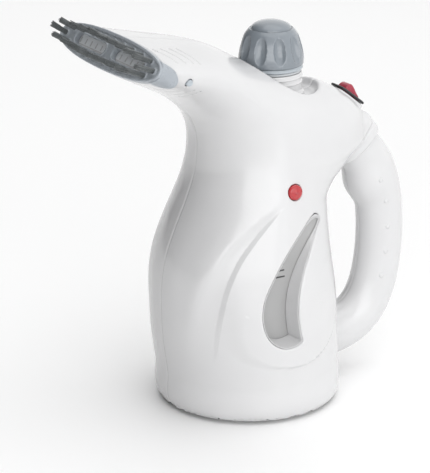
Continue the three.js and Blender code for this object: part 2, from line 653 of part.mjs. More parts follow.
// ---------------------------------------------------------------- filler neck and cap
function addNeckAndCap() {
  const neck = turned([
    [NECK_BORE_R, 168], [NECK_R - 0.2, 168], [NECK_R - 0.2, 171], [NECK_R, 171], [NECK_R, NECK_TOP],
    [NECK_BORE_R, NECK_TOP], [NECK_BORE_R, 168],
  ], NECK_X, 32);
  add('filler_neck', neck, whiteGloss);
  add('cap_seal', ring(NECK_R - 0.4, NECK_BORE_R - 1.4, NECK_TOP + GAP, NECK_TOP + 1.8, NECK_X), silicone);
  add('cap_skirt', ring(CAP_R - 0.9, NECK_R - 0.9, NECK_TOP + 2.1, CAP_RIM_Z - GAP, NECK_X), lightGrey);
  const plug = turned([
    [4.4, 205], [NECK_BORE_R - 0.6, 205], [NECK_BORE_R - 0.6, NECK_TOP + GAP], [14.2, NECK_TOP + GAP],
    [14.2, NECK_TOP + 2.1], [NECK_R - 1.3, NECK_TOP + 2.1], [NECK_R - 1.3, 218.5], [7, 218.5], [7, 208],
    [4.4, 208], [4.4, 205],
  ], NECK_X, 28);
  add('cap_plug', plug, greyPlastic);
  add('cap_grip', capGrip(), greyPlastic);
  const poppet = [[0, 202], [4, 202], [4, 208.3], [6.4, 208.3], [6.4, 210], [2, 210], [2, 217], [0, 217]];
  add('relief_poppet', turned(poppet, NECK_X, 16), redPlastic);
  add('relief_spring', reliefSpring(), steel);
}

// Domed grip with oval finger flutes round it.
function capGrip() {
  const profile = [
    [0, CAP_RIM_Z], [CAP_R - 0.4, CAP_RIM_Z], [CAP_R, 220], [CAP_R, 224], [CAP_R - 0.9, 229],
    [CAP_R - 2.6, 234.5], [CAP_R - 4.6, 238.8], [CAP_CROWN_R, CAP_CROWN_Z], [11, 243.6], [6.6, 245.6],
    [0, CAP_TOP],
  ];
  const body = solid(turned(profile, NECK_X, 27));
  const flutes = Array.from({ length: CAP_FLUTES }, (_, i) => {
    const angle = ((i + 0.5) / CAP_FLUTES) * 2 * Math.PI + FLUTE_PHASE;
    const bite = new THREE.SphereGeometry(1, 8, 6).scale(3.4, 4.9, 10.5);
    const lean = new THREE.Matrix4().makeRotationY(-0.2).setPosition(CAP_R + 0.9, 0, 230);
    bite.applyMatrix4(lean).applyMatrix4(new THREE.Matrix4().makeRotationZ(angle)).translate(NECK_X, 0, 0);
    return solid(bite);
  });
  const hollow = turned([[0, 218], [8, 218], [8, 236], [0, 236]], NECK_X, 16);
  return geometryOf(cut(body, ...flutes, solid(hollow)));
}

function reliefSpring() {
  const turns = 4;
  const points = Array.from({ length: turns * 8 + 1 }, (_, i) => {
    const a = (i / 8) * 2 * Math.PI;
    const height = 211.2 + (i / (turns * 8)) * 23.6;
    return new THREE.Vector3(NECK_X + 4.2 * Math.cos(a), 4.2 * Math.sin(a), height);
  });
  return sweep(new THREE.CatmullRomCurve3(points), circle(0.6, 5), turns * 10);
}

addShells();
addBase();
addBoiler();
addInlet();
addSteamPath();
addBristleHead();
addSwitch();
addIndicator();
addWindows();
addNeckAndCap();

export default steamer;
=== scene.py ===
import json
import math
import random

import bmesh
import bpy
import numpy as np
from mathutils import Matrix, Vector


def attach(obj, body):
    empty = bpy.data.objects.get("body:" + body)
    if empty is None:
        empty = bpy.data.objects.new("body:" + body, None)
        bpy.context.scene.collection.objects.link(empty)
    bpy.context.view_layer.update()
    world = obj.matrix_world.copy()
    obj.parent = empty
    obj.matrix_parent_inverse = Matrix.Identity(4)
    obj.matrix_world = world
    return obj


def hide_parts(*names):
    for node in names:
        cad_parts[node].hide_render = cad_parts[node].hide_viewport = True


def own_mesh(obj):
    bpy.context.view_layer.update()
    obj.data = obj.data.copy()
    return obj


# Handheld garment steamer: the visual model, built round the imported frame. The frame is in metres, +Z up,
# nozzle towards -X, handle towards +X. Shapes below are worked out in millimetres and turned into metres
# when they are made.
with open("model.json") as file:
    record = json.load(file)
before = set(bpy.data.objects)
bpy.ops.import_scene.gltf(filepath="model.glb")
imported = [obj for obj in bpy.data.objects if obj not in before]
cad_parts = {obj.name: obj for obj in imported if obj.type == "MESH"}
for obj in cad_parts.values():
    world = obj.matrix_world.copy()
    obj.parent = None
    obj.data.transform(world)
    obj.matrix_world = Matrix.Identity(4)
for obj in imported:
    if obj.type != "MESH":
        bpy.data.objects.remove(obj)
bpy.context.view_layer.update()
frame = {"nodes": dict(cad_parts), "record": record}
MM = 0.001
HANDS = (("left", -1), ("right", 1))

# ---------------- camera
VIEW_TURN = math.radians(-30.735)
VIEW_RISE = math.radians(18.812)
VIEW_DISTANCE = 1.5
VIEW_TARGET = Vector((-24.875, 0, 110.54)) * MM
SENSOR = 36.0
VIEW_LENS = 179.9


def make_camera():
    data = bpy.data.cameras.new("camera")
    data.sensor_fit = "AUTO"
    data.sensor_width = SENSOR
    data.lens = VIEW_LENS
    data.clip_start = 0.05
    data.clip_end = 30
    camera = bpy.data.objects.new("camera", data)
    back = Vector((
        math.sin(VIEW_TURN) * math.cos(VIEW_RISE),
        -math.cos(VIEW_TURN) * math.cos(VIEW_RISE),
        math.sin(VIEW_RISE),
    ))
    camera.location = VIEW_TARGET + back * VIEW_DISTANCE
    camera.rotation_mode = "QUATERNION"
    camera.rotation_quaternion = (-back).to_track_quat("-Z", "Y")
    bpy.context.collection.objects.link(camera)
    bpy.context.scene.camera = camera


make_camera()


# ---------------- materials
COAT_ROUGH = 0.06
SECOND_SHADE = 0.93  # of the colour, for patches where no second colour is given
STREAK_SHARE, STREAK_SHADE = 0.5, 0.72
WEAR_SHARE, WEAR_START, WEAR_END = 0.3, 0.52, 0.62  # on edges, by pointiness
PAINTED_SHADE_SHARE, PAINTED_SHADE_TONE, PAINTED_SHADE_START, PAINTED_SHADE_END = 0.35, 0.62, 0.36, 0.48  # painted shade in hollows and corners, by pointiness


def set_inputs(node, values):
    """Sets a node's sockets by their names."""
    for socket, value in values.items():
        node.inputs[socket].default_value = value


def shade(
    name, colour, second=None, rough=0.3, rough_spread=0.08, patch=45, grain=1800, bump=0.15, depth=0.00006,
    worn=None, metal=0.0, coat=0.0, transmission=0.0, streaks=None, glow=None,
):
    """A moulded or metal finish: soft patches of colour, uneven gloss, surface grain, worn edges, and
    painted shade in hollows.
    """
    material = bpy.data.materials.new(name)
    material.use_nodes = True
    nodes, link = material.node_tree.nodes, material.node_tree.links.new
    shader = nodes["Principled BSDF"]
    set_inputs(shader, {
        "Metallic": metal,
        "Coat Weight": coat,
        "Coat Roughness": COAT_ROUGH,
        "Transmission Weight": transmission,
    })
    place = nodes.new("ShaderNodeTexCoord").outputs["Object"]

    def noise(scale, detail, stretch=None):
        texture = nodes.new("ShaderNodeTexNoise")
        set_inputs(texture, {"Scale": scale, "Detail": detail})
        source = place
        if stretch:
            mapping = nodes.new("ShaderNodeMapping")
            set_inputs(mapping, {"Scale": stretch})
            link(place, mapping.inputs["Vector"])
            source = mapping.outputs["Vector"]
        link(source, texture.inputs["Vector"])
        return texture.outputs["Fac"]

    def spread(source, low, high, start=0.3, end=0.7):
        area = nodes.new("ShaderNodeMapRange")
        set_inputs(area, {"From Min": start, "From Max": end, "To Min": low, "To Max": high})
        link(source, area.inputs["Value"])
        return area.outputs["Result"]

    def mix(share, a, b):
        blend = nodes.new("ShaderNodeMix")
        blend.data_type = "RGBA"
        link(share, blend.inputs["Factor"])
        for socket, value in (("A", a), ("B", b)):
            target = next(s for s in blend.inputs if s.name == socket and s.type == "RGBA")
            if isinstance(value, tuple):
                target.default_value = (*value, 1)
            else:
                link(value, target)
        return next(s for s in blend.outputs if s.type == "RGBA")

    def darker(share):
        return tuple(c * share for c in colour)

    paint = mix(spread(noise(patch, 3), 0, 1), colour, second or darker(SECOND_SHADE))
    if streaks:
        paint = mix(spread(noise(1, 4, streaks), 0, STREAK_SHARE), paint, darker(STREAK_SHADE))
    edge = nodes.new("ShaderNodeNewGeometry").outputs["Pointiness"]
    worn = worn or tuple(min(1.0, c * 1.25 + 0.02) for c in colour)
    paint = mix(spread(edge, 0, WEAR_SHARE, WEAR_START, WEAR_END), paint, worn)
    # painted shade: colour darkened in hollows and corners, by pointiness, where shade falls
    paint = mix(spread(edge, PAINTED_SHADE_SHARE, 0, PAINTED_SHADE_START, PAINTED_SHADE_END), paint, darker(PAINTED_SHADE_TONE))
    link(paint, shader.inputs["Base Color"])
    gloss = spread(noise(patch * 2.3, 5), rough - rough_spread, rough + rough_spread)
    link(gloss, shader.inputs["Roughness"])
    if glow:
        set_inputs(shader, {"Emission Strength": glow})
        link(paint, shader.inputs["Emission Color"])
    relief = nodes.new("ShaderNodeBump")
    set_inputs(relief, {"Strength": bump, "Distance": depth})
    link(noise(grain, 4, streaks), relief.inputs["Height"])
    link(relief.outputs["Normal"], shader.inputs["Normal"])
    return material


WHITE, WHITE_PATCH, WHITE_WORN = (0.61, 0.61, 0.615), (0.595, 0.595, 0.602), (0.7, 0.7, 0.7)
# Finishes by the record's slots, then those of single pieces.
FINISHES = {
    "white_shell": shade("gloss_white", WHITE, WHITE_PATCH, 0.18, 0.05, 30, 420, 0.06, 0.0002, WHITE_WORN,
                         coat=0.15),
    "grey_plastic": shade("grey_plastic", (0.205, 0.23, 0.255), (0.19, 0.215, 0.24), 0.16, 0.04, 60, 1500,
                          0.06, coat=0.5),
    "light_grey_plastic": shade("light_grey_plastic", (0.4, 0.44, 0.475), None, 0.38, 0.06, 60, 1500, 0.15),
    "bristle": shade("nylon_bristle", (0.1, 0.113, 0.12), (0.066, 0.076, 0.082), 0.4, 0.12, 900, 5000, 0.3,
                     worn=(0.26, 0.27, 0.265)),
    "black_plastic": shade("black_plastic", (0.012, 0.012, 0.014), (0.02, 0.02, 0.022), 0.35, 0.08, 90,
                           1600, 0.2),
    "red_plastic": shade("rocker_red", (0.36, 0.03, 0.055), (0.3, 0.022, 0.045), 0.28, 0.06, 120, 1300,
                         0.12, coat=0.2),
    "red_lens": shade("lens_red", (0.56, 0.035, 0.04), (0.47, 0.02, 0.03), 0.16, 0.04, 700, 1800, 0.2,
                      coat=0.6, transmission=0.25, glow=0.05),
    "smoked_window": shade("smoked_window", (0.36, 0.36, 0.36), (0.345, 0.345, 0.345), 0.35, 0.05, 40, 900,
                           0.03),
    "clear_tank": shade("tank_plastic", (0.72, 0.74, 0.75), None, 0.25, 0.06, 50, 900, 0.1,
                        transmission=0.6),
    "rubber_foot": shade("rubber", (0.06, 0.06, 0.063), (0.045, 0.045, 0.048), 0.75, 0.1, 200, 2600, 0.5,
                         depth=0.0001),
    "cast_aluminium": shade("cast_aluminium", (0.58, 0.59, 0.6), (0.48, 0.49, 0.5), 0.42, 0.12, 200, 1400,
                            0.5, depth=0.0001, metal=1.0),
    "steel": shade("zinc_steel", (0.56, 0.57, 0.58), (0.48, 0.49, 0.51), 0.32, 0.1, 300, 2500, 0.3,
                   metal=1.0, streaks=(3000, 300, 300)),
    "silicone": shade("silicone", (0.5, 0.52, 0.54), None, 0.55, 0.08, 120, 1500, 0.3),
    "ceramic": shade("ceramic", (0.74, 0.7, 0.62), (0.66, 0.62, 0.54), 0.65, 0.1, 240, 3000, 0.5,
                     depth=0.0001),
    "window_wall": shade("window_wall", (0.55, 0.55, 0.555), (0.53, 0.53, 0.535), 0.4, 0.05, 60, 900, 0.04),
    "mark_grey": shade("mark_grey", (0.06, 0.06, 0.062), None, 0.5, 0.08, 300, 2000, 0.2),
    # the steam plate's pale grey: partly its own light grey, partly painted light, made paler to lift the
    # shade the plate lies in
    "plate_grey_painted_light": shade("plate_grey_painted_light", (0.78, 0.8, 0.82), None, 0.35, 0.06, 80, 1500, 0.1),
    "head_grey": shade("head_grey", (0.34, 0.37, 0.4), (0.31, 0.335, 0.365), 0.3, 0.07, 80, 1500, 0.15),
}

# ---------------- body surface
# Sections are level up to FAN_Z; above it they turn about the fan axis until they face the nozzle.
FAN_X, FAN_Z = -156.6, 150.0
FAN_RATE = 2.0  # station length for one degree of turn
CREST = 12.0  # rounding of the crest where a section is leaner than an ellipse
LEAST = 0.05  # lower limit of a section's measure, near its middle
# Height, front X, rear X, centre X, half width, power of the rear half.
LEVEL_STATIONS = [
    (0, -55.5, 55.5, 0, 55.5, 2),
    (5, -58.8, 58.8, 0, 58.8, 2),
    (25, -60.4, 58.4, -1, 59.6, 2),
    (50, -63.8, 57, -3.2, 60.6, 2),
    (75, -64.8, 55.4, -4.6, 60, 2),
    (101, -61.8, 51.8, -4.4, 56.8, 2),
    (121, -54.4, 50, -2.4, 53.2, 2),
    (134, -48.4, 49.6, -0.6, 50.8, 2),
    (142, -45, 54, 0.8, 49.2, 1.95),
    (150, -42, 64, 2, 47.4, 1.9),
]
# Degrees, near and far distance from the fan axis, centre, half width, power.
TURNED_STATIONS = [
    (2, 115.9, 230, 158.8, 46.4, 1.87),
    (4, 117.2, 240.5, 159, 45.4, 1.85),
    (7, 118.6, 240, 160, 44.2, 1.8),
    (12.6, 121, 222.6, 159, 42.4, 1.65),
    (16, 121.6, 206.8, 156, 41.6, 1.55),
    (20, 120.8, 189.5, 151, 41.6, 1.55),
    (27, 115.6, 166.5, 142, 43.4, 1.7),
    (35, 107.8, 152.5, 130.5, 47.4, 2),
    (45, 100, 133.5, 117, 53.6, 2.2),
    (52, 97.4, 123.8, 110.6, 58.2, 2.3),
    (57, 97.4, 118.4, 107.9, 60, 2.35),
]
STATIONS = np.array(
    [
        (t, front - FAN_X, rear - FAN_X, centre - FAN_X, half, power)
        for t, front, rear, centre, half, power in LEVEL_STATIONS
    ]
    + [(FAN_Z + FAN_RATE * turn, *rest) for turn, *rest in TURNED_STATIONS]
)


def station_slopes():
    t, v = STATIONS[:, 0], STATIONS[:, 1:]
    span = np.diff(t)[:, None]
    rise = np.diff(v, axis=0) / span
    inner = (rise[:-1] * span[1:] + rise[1:] * span[:-1]) / (span[1:] + span[:-1])
    inner[rise[:-1] * rise[1:] <= 0] = 0
    return np.vstack([rise[:1], inner, rise[-1:]])


SLOPES = station_slopes()


def section(t):
    """Section sizes at stations t, and how fast they change along t."""
    knots, v = STATIONS[:, 0], STATIONS[:, 1:]
    t = np.clip(t, knots[0], knots[-1])
    i = np.clip(np.searchsorted(knots, t, side="right") - 1, 0, len(knots) - 2)
    span = (knots[i + 1] - knots[i])[:, None]
    u = ((t - knots[i]) / (knots[i + 1] - knots[i]))[:, None]
    a, b, da, db = v[i], v[i + 1], SLOPES[i] * span, SLOPES[i + 1] * span
    size = a + u * (da + u * (3 * (b - a) - 2 * da - db + u * (2 * (a - b) + da + db)))
    change = (da + u * (2 * (3 * (b - a) - 2 * da - db) + 3 * u * (2 * (a - b) + da + db))) / span
    return size.T, change.T


def body(x, y, z):
    """Distance outside the lofted body."""
    fan = z > FAN_Z
    dx, dz = x - FAN_X, z - FAN_Z
    s = np.where(fan, np.hypot(dx, dz), dx)
    t = np.where(fan, FAN_Z + FAN_RATE * np.degrees(np.arctan2(dz, dx)), z)
    (near, far, centre, half, power), rate = section(t)
    d = s - centre
    back = d > 0
    reach = np.where(back, far - centre, centre - near)
    reach_rate = np.where(back, rate[1] - rate[2], rate[2] - rate[0])
    n = np.where(back, power, np.maximum(2, power))
    crest = np.where(back, CREST * np.maximum(0, 2 - power), 0)
    w = np.abs(y) / half
    soft = w * half + crest + 1e-9
    e = w * w * (half + crest) / soft
    e_rate = (half + crest) * w * (2 * soft - w * half) / soft**2
    a = np.abs(d) / reach
    f = np.maximum((a**n + e**n) ** (1 / n), LEAST)
    fa, fe = (a / f) ** (n - 1), (e / f) ** (n - 1)
    g_d = fa / reach
    g_y = fe * e_rate / half
    g_t = fa * (-a * reach_rate - np.where(back, 1, -1) * rate[2]) / reach
    g_t -= fe * e_rate * w * rate[3] / half
    per_mm = np.where(fan, FAN_RATE * 180 / np.pi / np.maximum(s, 20), 1.0)
    slope = np.sqrt(g_d**2 + g_y**2 + (g_t * per_mm) ** 2)
    return (f - 1) / np.maximum(slope, 1e-4)


# ---------------- field tools
FAR = 1e9


def smooth_max(a, b, k):
    """The larger field, with the edge between the two rounded over a width of k."""
    h = np.maximum(k - np.abs(a - b), 0) / k
    return np.maximum(a, b) + h * h * k / 4


def smooth_min(a, b, k):
    return -smooth_max(-a, -b, k)


def groove(distance, depth, half):
    """What a soft groove takes off, by the distance from its middle."""
    return depth * np.exp(-((distance / half) ** 2))


def ramp(low, high, v):
    """Rises smoothly from 0 at low to 1 at high."""
    u = np.clip((v - low) / (high - low), 0, 1)
    return u * u * (3 - 2 * u)


def spline(points, per_span, closed=False):
    """Centripetal Catmull-Rom curve through the points, as a polyline."""
    p = np.array(points, float)
    p = np.vstack([p[-1], p, p[:2]]) if closed else np.vstack([2 * p[0] - p[1], p, 2 * p[-1] - p[-2]])
    out = []
    for p0, p1, p2, p3 in zip(p, p[1:], p[2:], p[3:]):
        t1 = np.linalg.norm(p1 - p0) ** 0.5
        t2 = t1 + np.linalg.norm(p2 - p1) ** 0.5
        t3 = t2 + np.linalg.norm(p3 - p2) ** 0.5
        for t in np.linspace(t1, t2, per_span, endpoint=False):
            a1 = p0 + (p1 - p0) * t / t1
            a2 = p1 + (p2 - p1) * (t - t1) / (t2 - t1)
            a3 = p2 + (p3 - p2) * (t - t2) / (t3 - t2)
            b1 = a1 + (a2 - a1) * t / t2
            b2 = a2 + (a3 - a2) * (t - t1) / (t3 - t1)
            out.append(b1 + (b2 - b1) * (t - t1) / (t2 - t1))
    out.append(out[0] if closed else p[-2])
    return np.array(out)


def to_path(line, u, v):
    """Distance from points (u, v) to a polyline, share of its length there, and side (1 left, -1 right)."""
    best = np.full(u.shape, FAR)
    share, side = np.zeros(u.shape), np.ones(u.shape)
    lengths = np.linalg.norm(np.diff(line, axis=0), axis=1)
    total, done = lengths.sum(), 0.0
    for (au, av), (bu, bv), length in zip(line, line[1:], lengths):
        eu, ev = (bu - au) / length, (bv - av) / length
        pu, pv = u - au, v - av
        along = np.clip(pu * eu + pv * ev, 0, length)
        square = (pu - along * eu) ** 2 + (pv - along * ev) ** 2
        closer = square < best
        best = np.where(closer, square, best)
        share = np.where(closer, (done + along) / total, share)
        side = np.where(closer, np.sign(eu * pv - ev * pu), side)
        done += length
    return np.sqrt(best), share, side


def outline_distance(line, u, v):
    """Distance to a closed outline, negative inside it."""
    inside = np.zeros(u.shape, bool)
    for (au, av), (bu, bv) in zip(line, line[1:]):
        if av != bv:
            crosses = (av > v) != (bv > v)
            inside ^= crosses & (u < (bu - au) * (v - av) / (bv - av) + au)
    return np.where(inside, -1, 1) * to_path(line, u, v)[0]


# ---------------- shell features
WALL = 2.6
RIM_Z = 1.0
RIM_BAND, RIM_BORE_R = 6.0, 55.6
FRONT_TURN = np.radians(55.7)
HANDLE_R, HANDLE_HALF = 16.0, 14.4
HANDLE_PATH = spline(
    [(67, 172), (79.3, 156.8), (87.6, 147), (94.6, 136.2), (98.9, 122), (101.2, 105), (101.4, 90),
     (100, 73.6), (96.4, 57.4), (89.3, 43.6), (78.4, 34.4), (65, 30), (50, 29)],
    4,
)
THUMB_X, THUMB_Z, THUMB_R = 88.0, 130.5, 12.4  # swelling on the inner side of the handle
SLEEVE_R, SLEEVE_HALF, SLEEVE_POWER = 18.5, 16.0, 3.0
SLEEVE_TOP, SLEEVE_END = np.array([70.0, 168.4]), np.array([79.3, 156.8])
SLEEVE_LENGTH = np.linalg.norm(SLEEVE_END - SLEEVE_TOP)
SLEEVE_WAY = (SLEEVE_END - SLEEVE_TOP) / SLEEVE_LENGTH
COLLAR_WIDTH = 7.6
NECK_X = 16.0
NECK_HOLE_R = 19.8
RECESS_X, RECESS_LONG, RECESS_R, RECESS_FLOOR = 18.5, 1.12, 25.5, 199.0
WINDOW = spline(
    [(20.6, 131.2), (23.8, 128.8), (22.6, 124), (14.5, 111), (7, 98), (2.6, 86), (0.8, 72), (2.2, 59),
     (3, 53.6), (-9, 51), (-18.8, 56.6), (-24, 69), (-22.8, 82), (-15.2, 97), (-4.4, 111.6), (9, 124.5),
     (17, 130.4)],
    5,
    closed=True,
)
WINDOW_FLOOR = 42.0
LONG_CREASE = spline(
    [(-1.5, 141.5), (-8, 136.5), (-19, 126.2), (-33.6, 107.9), (-41.8, 89.8), (-46.5, 66), (-48.5, 40)], 6
)
WINDOW_BELT = spline(
    [(-31, 96), (-35.5, 82), (-36.5, 68), (-33.6, 52.5), (-23, 43.6), (-9.8, 39), (7.8, 38.7), (20.4, 42.8),
     (33, 52), (38.5, 66), (39, 84)],
    6,
)
COLLAR_GROOVE_DEPTH, COLLAR_GROOVE_HALF = 0.9, 0.85
# Grip grooves on top of the nozzle, each from one point to another in X and distance from the mirror plane.
GROOVES = [
    ((-86.4, 29.8), (-79.8, 48.4)),
    ((-79.6, 27.9), (-73.1, 46.4)),
    ((-72.6, 25.6), (-66.7, 44.7)),
    ((-67, 24.6), (-61.4, 43.7)),
]
GROOVE_DEPTH, GROOVE_HALF = 0.55, 0.5
SEAM_DEPTH, SEAM_HALF = 0.3, 0.7
STUD_X, STUD_Z, STUD_HOLE_R = -73.8, 230.2, 2.5
LENS_X, LENS_Z, LENS_R = 4.7, 148.0, 4.9
SCREWS = [(100.6, 109, 11.5), (99.8, 75, 11.5), (-49, 62, 32), (46, 160, 31.5)]  # X, Z, and Y of the head
SCREW_R = 3.1
SWITCH_X, SWITCH_Z, SWITCH_TURN = 74.2, 190.3, np.radians(38)
INLET_Z, INLET_R = 8.0, 4.4
GAP = 0.3
CREASE_DROP, CREASE_SWELL, CREASE_BACKING = 2.0, 0.9, 2.2
BELT_RISE = 1.1
SIDE_START, SIDE_FULL = 18, 34  # distances from the mirror plane between which the side relief comes in


def side_relief(x, z):
    """How far the sides stand out by the long crease and round the window, and the wall's extra there."""
    out, thick = np.zeros(x.shape), np.zeros(x.shape)
    m = (x > -68) & (x < 46) & (z > 20) & (z < 152)
    u, v = x[m], z[m]
    d, share, side = to_path(LONG_CREASE, u, v)
    s = -d * side  # positive in front of the crease
    strength = ramp(0, 0.22, share) * (1 - ramp(0.7, 1.0, share))
    crest = 5 + 17 * share
    drop = ramp(-0.4, 1.3, s) * (1 - ramp(0.6, crest, s))
    swell = ramp(0.3 * crest, crest, s) * (1 - ramp(crest, crest + 16, s))
    lobe = strength * (CREASE_SWELL * swell - CREASE_DROP * drop)
    thick[m] = CREASE_BACKING * ramp(0, 0.15, share) * (1 - ramp(5, 16, d))
    d, share, side = to_path(WINDOW_BELT, u, v)
    s = d * side  # positive towards the window
    edge = 9 - 7.4 * ramp(0.25, 0.5, share)
    pad = ramp(-edge, 0.15 * edge, s) * (1 - ramp(10, 30, s))
    out[m] = lobe + BELT_RISE * pad * ramp(0, 0.2, share) * (1 - ramp(0.9, 1.0, share))
    return out, thick


def sleeve_frame(x, z):
    """Coordinates along the shoulder's sleeve from its end, and off its middle line."""
    dx, dz = x - SLEEVE_END[0], z - SLEEVE_END[1]
    return dx * SLEEVE_WAY[0] + dz * SLEEVE_WAY[1], dx * SLEEVE_WAY[1] - dz * SLEEVE_WAY[0]


def switch_frame(x, z):
    """Coordinates along the switch and out of it."""
    cos, sin = np.cos(SWITCH_TURN), np.sin(SWITCH_TURN)
    dx, dz = x - SWITCH_X, z - SWITCH_Z
    return dx * cos - dz * sin, dx * sin + dz * cos


def switch_block(x, y, z, half_x, half_y, low, high, k, corner=3.0):
    """Distance outside a block with rounded corners, set square to the switch."""
    u, w = switch_frame(x, z)
    sides = smooth_max(np.abs(u) - half_x, np.abs(y) - half_y, corner)
    return smooth_max(smooth_max(sides, w - high, k), low - w, k)


def outside(x, y, z):
    """Distance outside the moulded shape, before its openings; y is measured from the mirror plane."""
    f = body(x, y, z)
    rim = -(x - FAN_X) * np.sin(FRONT_TURN) + (z - FAN_Z) * np.cos(FRONT_TURN)
    f = smooth_max(f, rim, 0.8)
    near = np.abs(f) < 8
    f[near] -= side_relief(x[near], z[near])[0] * ramp(SIDE_START, SIDE_FULL, y[near])
    f = smooth_max(f, RIM_Z - z, 0.8)
    m = (x > 30) & (f > -12)
    a, b, c = x[m], y[m], z[m]
    along, off = sleeve_frame(a, c)
    radial = (np.abs(off) / SLEEVE_R) ** SLEEVE_POWER + (b / SLEEVE_HALF) ** SLEEVE_POWER
    radial = (radial ** (1 / SLEEVE_POWER) - 1) * SLEEVE_HALF
    sleeve = smooth_max(smooth_max(radial, along, 1.4), -along - SLEEVE_LENGTH, 4)
    g = smooth_min(f[m], sleeve, 4)
    ring = groove(along + COLLAR_WIDTH, COLLAR_GROOVE_DEPTH, COLLAR_GROOVE_HALF)
    g += ring * ramp(50, 62, a) * (radial < 16)
    handle = np.hypot(to_path(HANDLE_PATH, a, c)[0], b * HANDLE_R / HANDLE_HALF) - HANDLE_R
    thumb = np.sqrt((a - THUMB_X) ** 2 + (0.9 * b) ** 2 + (c - THUMB_Z) ** 2) - THUMB_R
    g = smooth_min(g, smooth_min(handle, thumb, 9), 2.2)
    f[m] = smooth_min(g, switch_block(a, b, c, 10.9, 7.9, -14, -1, 1.2), 1.6)
    return f


def hollow(f, x, y, z):
    """Distance outside the space inside the shell, from the distance f outside the whole moulding."""
    f = f + WALL
    wall = np.abs(f) < 5
    out, thick = side_relief(x[wall], z[wall])
    f[wall] += (out + thick) * ramp(SIDE_START, SIDE_FULL, y[wall])
    low = z < RIM_BAND
    f[low] = outside(x[low], y[low], np.full(low.sum(), RIM_BAND)) + WALL
    f = smooth_min(f, np.maximum(np.hypot(x, y) - RIM_BORE_R, z - 8), 0.6)
    r = np.hypot((x - RECESS_X) / RECESS_LONG, y)
    return np.maximum(f, -np.maximum(r - RECESS_R - WALL, RECESS_FLOOR - WALL - z))


def shell(x, y, z, side):
    """Distance outside the solid of a shell half; side is -1 for the left one and 1 for the right one."""
    whole = outside(x, y, z)
    cup = smooth_max(np.hypot((x - RECESS_X) / RECESS_LONG, y) - RECESS_R, RECESS_FLOOR - z, 5)
    f = smooth_max(whole, -cup, 3)
    deep = f < -12  # well inside the hollow
    m = (f < 4) & ~deep
    a, b, c = x[m], y[m], z[m]
    window = np.full(a.shape, FAR)
    w = (np.abs(a) < 32) & (c > 44) & (c < 138) & (b > 36)
    window[w] = np.maximum(outline_distance(WINDOW, a[w], c[w]), WINDOW_FLOOR - b[w])
    # Each opening, and how far its edge is rounded.
    openings = [
        (hollow(whole[m], a, b, c), 0.5),
        (np.maximum(np.hypot(a - NECK_X, b) - NECK_HOLE_R, RECESS_FLOOR - 12 - c), 0.8),
        (switch_block(a, b, c, 9.4, 6.4, -30, 5, 0.6, 1.5), 0.6),
        (switch_block(a, b, c, 11.3, 8.3, -0.7, 12, 0.4, 1.5), 0.5),
        (np.hypot(a - STUD_X, c - STUD_Z) - STUD_HOLE_R, 0.7),
        (window, 1.8),
    ]
    if side < 0:
        openings.append((np.maximum(np.hypot(a - LENS_X, c - LENS_Z) - LENS_R - GAP, 30 - b), 0.7))
    else:
        for screw_x, screw_z, _ in SCREWS:
            bore = np.hypot(a - screw_x, c - screw_z) - SCREW_R - GAP
            openings.append((np.maximum(bore, 4 - b), 0.7))
    openings.append((np.maximum(np.hypot(b, c - INLET_Z) - INLET_R - GAP, 48 - a), 0.6))
    g = f[m]
    for opening, edge in openings:
        g = smooth_max(g, -opening, edge)
    top = c > 215
    for ends in GROOVES:
        g[top] += groove(to_path(np.array(ends), a[top], b[top])[0], GROOVE_DEPTH, GROOVE_HALF)
    f[m] = g
    f[deep] = 9.0
    return f + groove(y, SEAM_DEPTH, SEAM_HALF)


# ---------------- meshing a field
COARSE = 4  # the field is first felt out on every fourth plane
SLOPE_STEP = 0.04
SETTLE_LIMIT = 0.7  # the most that a point moves in one step
RELAX_ROUNDS = 2
EDGE_LOOP = ((0, 0), (1, 0), (1, 1), (0, 1))


def planes(*spans):
    """Grid planes from (start, step) pairs, up to the last start."""
    out = [
        np.linspace(low, high, max(1, round((high - low) / step)), endpoint=False)
        for (low, step), (high, _) in zip(spans, spans[1:])
    ]
    return np.append(np.concatenate(out), spans[-1][0])


def sample(field, axes):
    """The field's values on a tensor grid; far from the surface they only keep their sign."""
    picks = [np.unique(np.append(np.arange(0, len(a), COARSE), len(a) - 1)) for a in axes]
    spots = np.stack(np.meshgrid(*[a[p] for a, p in zip(axes, picks)], indexing="ij"), -1)
    rough = field(spots.reshape(-1, 3)).reshape([len(p) for p in picks])
    reach = 0.65 * np.linalg.norm([np.diff(a[p]).max() for a, p in zip(axes, picks)])
    near = np.abs(rough) < reach
    cells = np.zeros([len(p) - 1 for p in picks], bool)
    for i, j, k in np.ndindex(2, 2, 2):
        cells |= near[i:i + cells.shape[0], j:j + cells.shape[1], k:k + cells.shape[2]]
    lows = [np.searchsorted(p, np.arange(len(a)), side="right") - 1 for p, a in zip(picks, axes)]
    index = np.ix_(*[np.minimum(low, len(p) - 2) for low, p in zip(lows, picks)])
    wanted = cells[index]
    wanted[:-1] |= wanted[1:]
    wanted[:, :-1] |= wanted[:, 1:]
    wanted[:, :, :-1] |= wanted[:, :, 1:]
    value = np.where(rough[:-1, :-1, :-1][index] < 0, -9.0, 9.0)
    at = np.nonzero(wanted)
    value[at] = field(np.stack([a[i] for a, i in zip(axes, at)], -1))
    return value


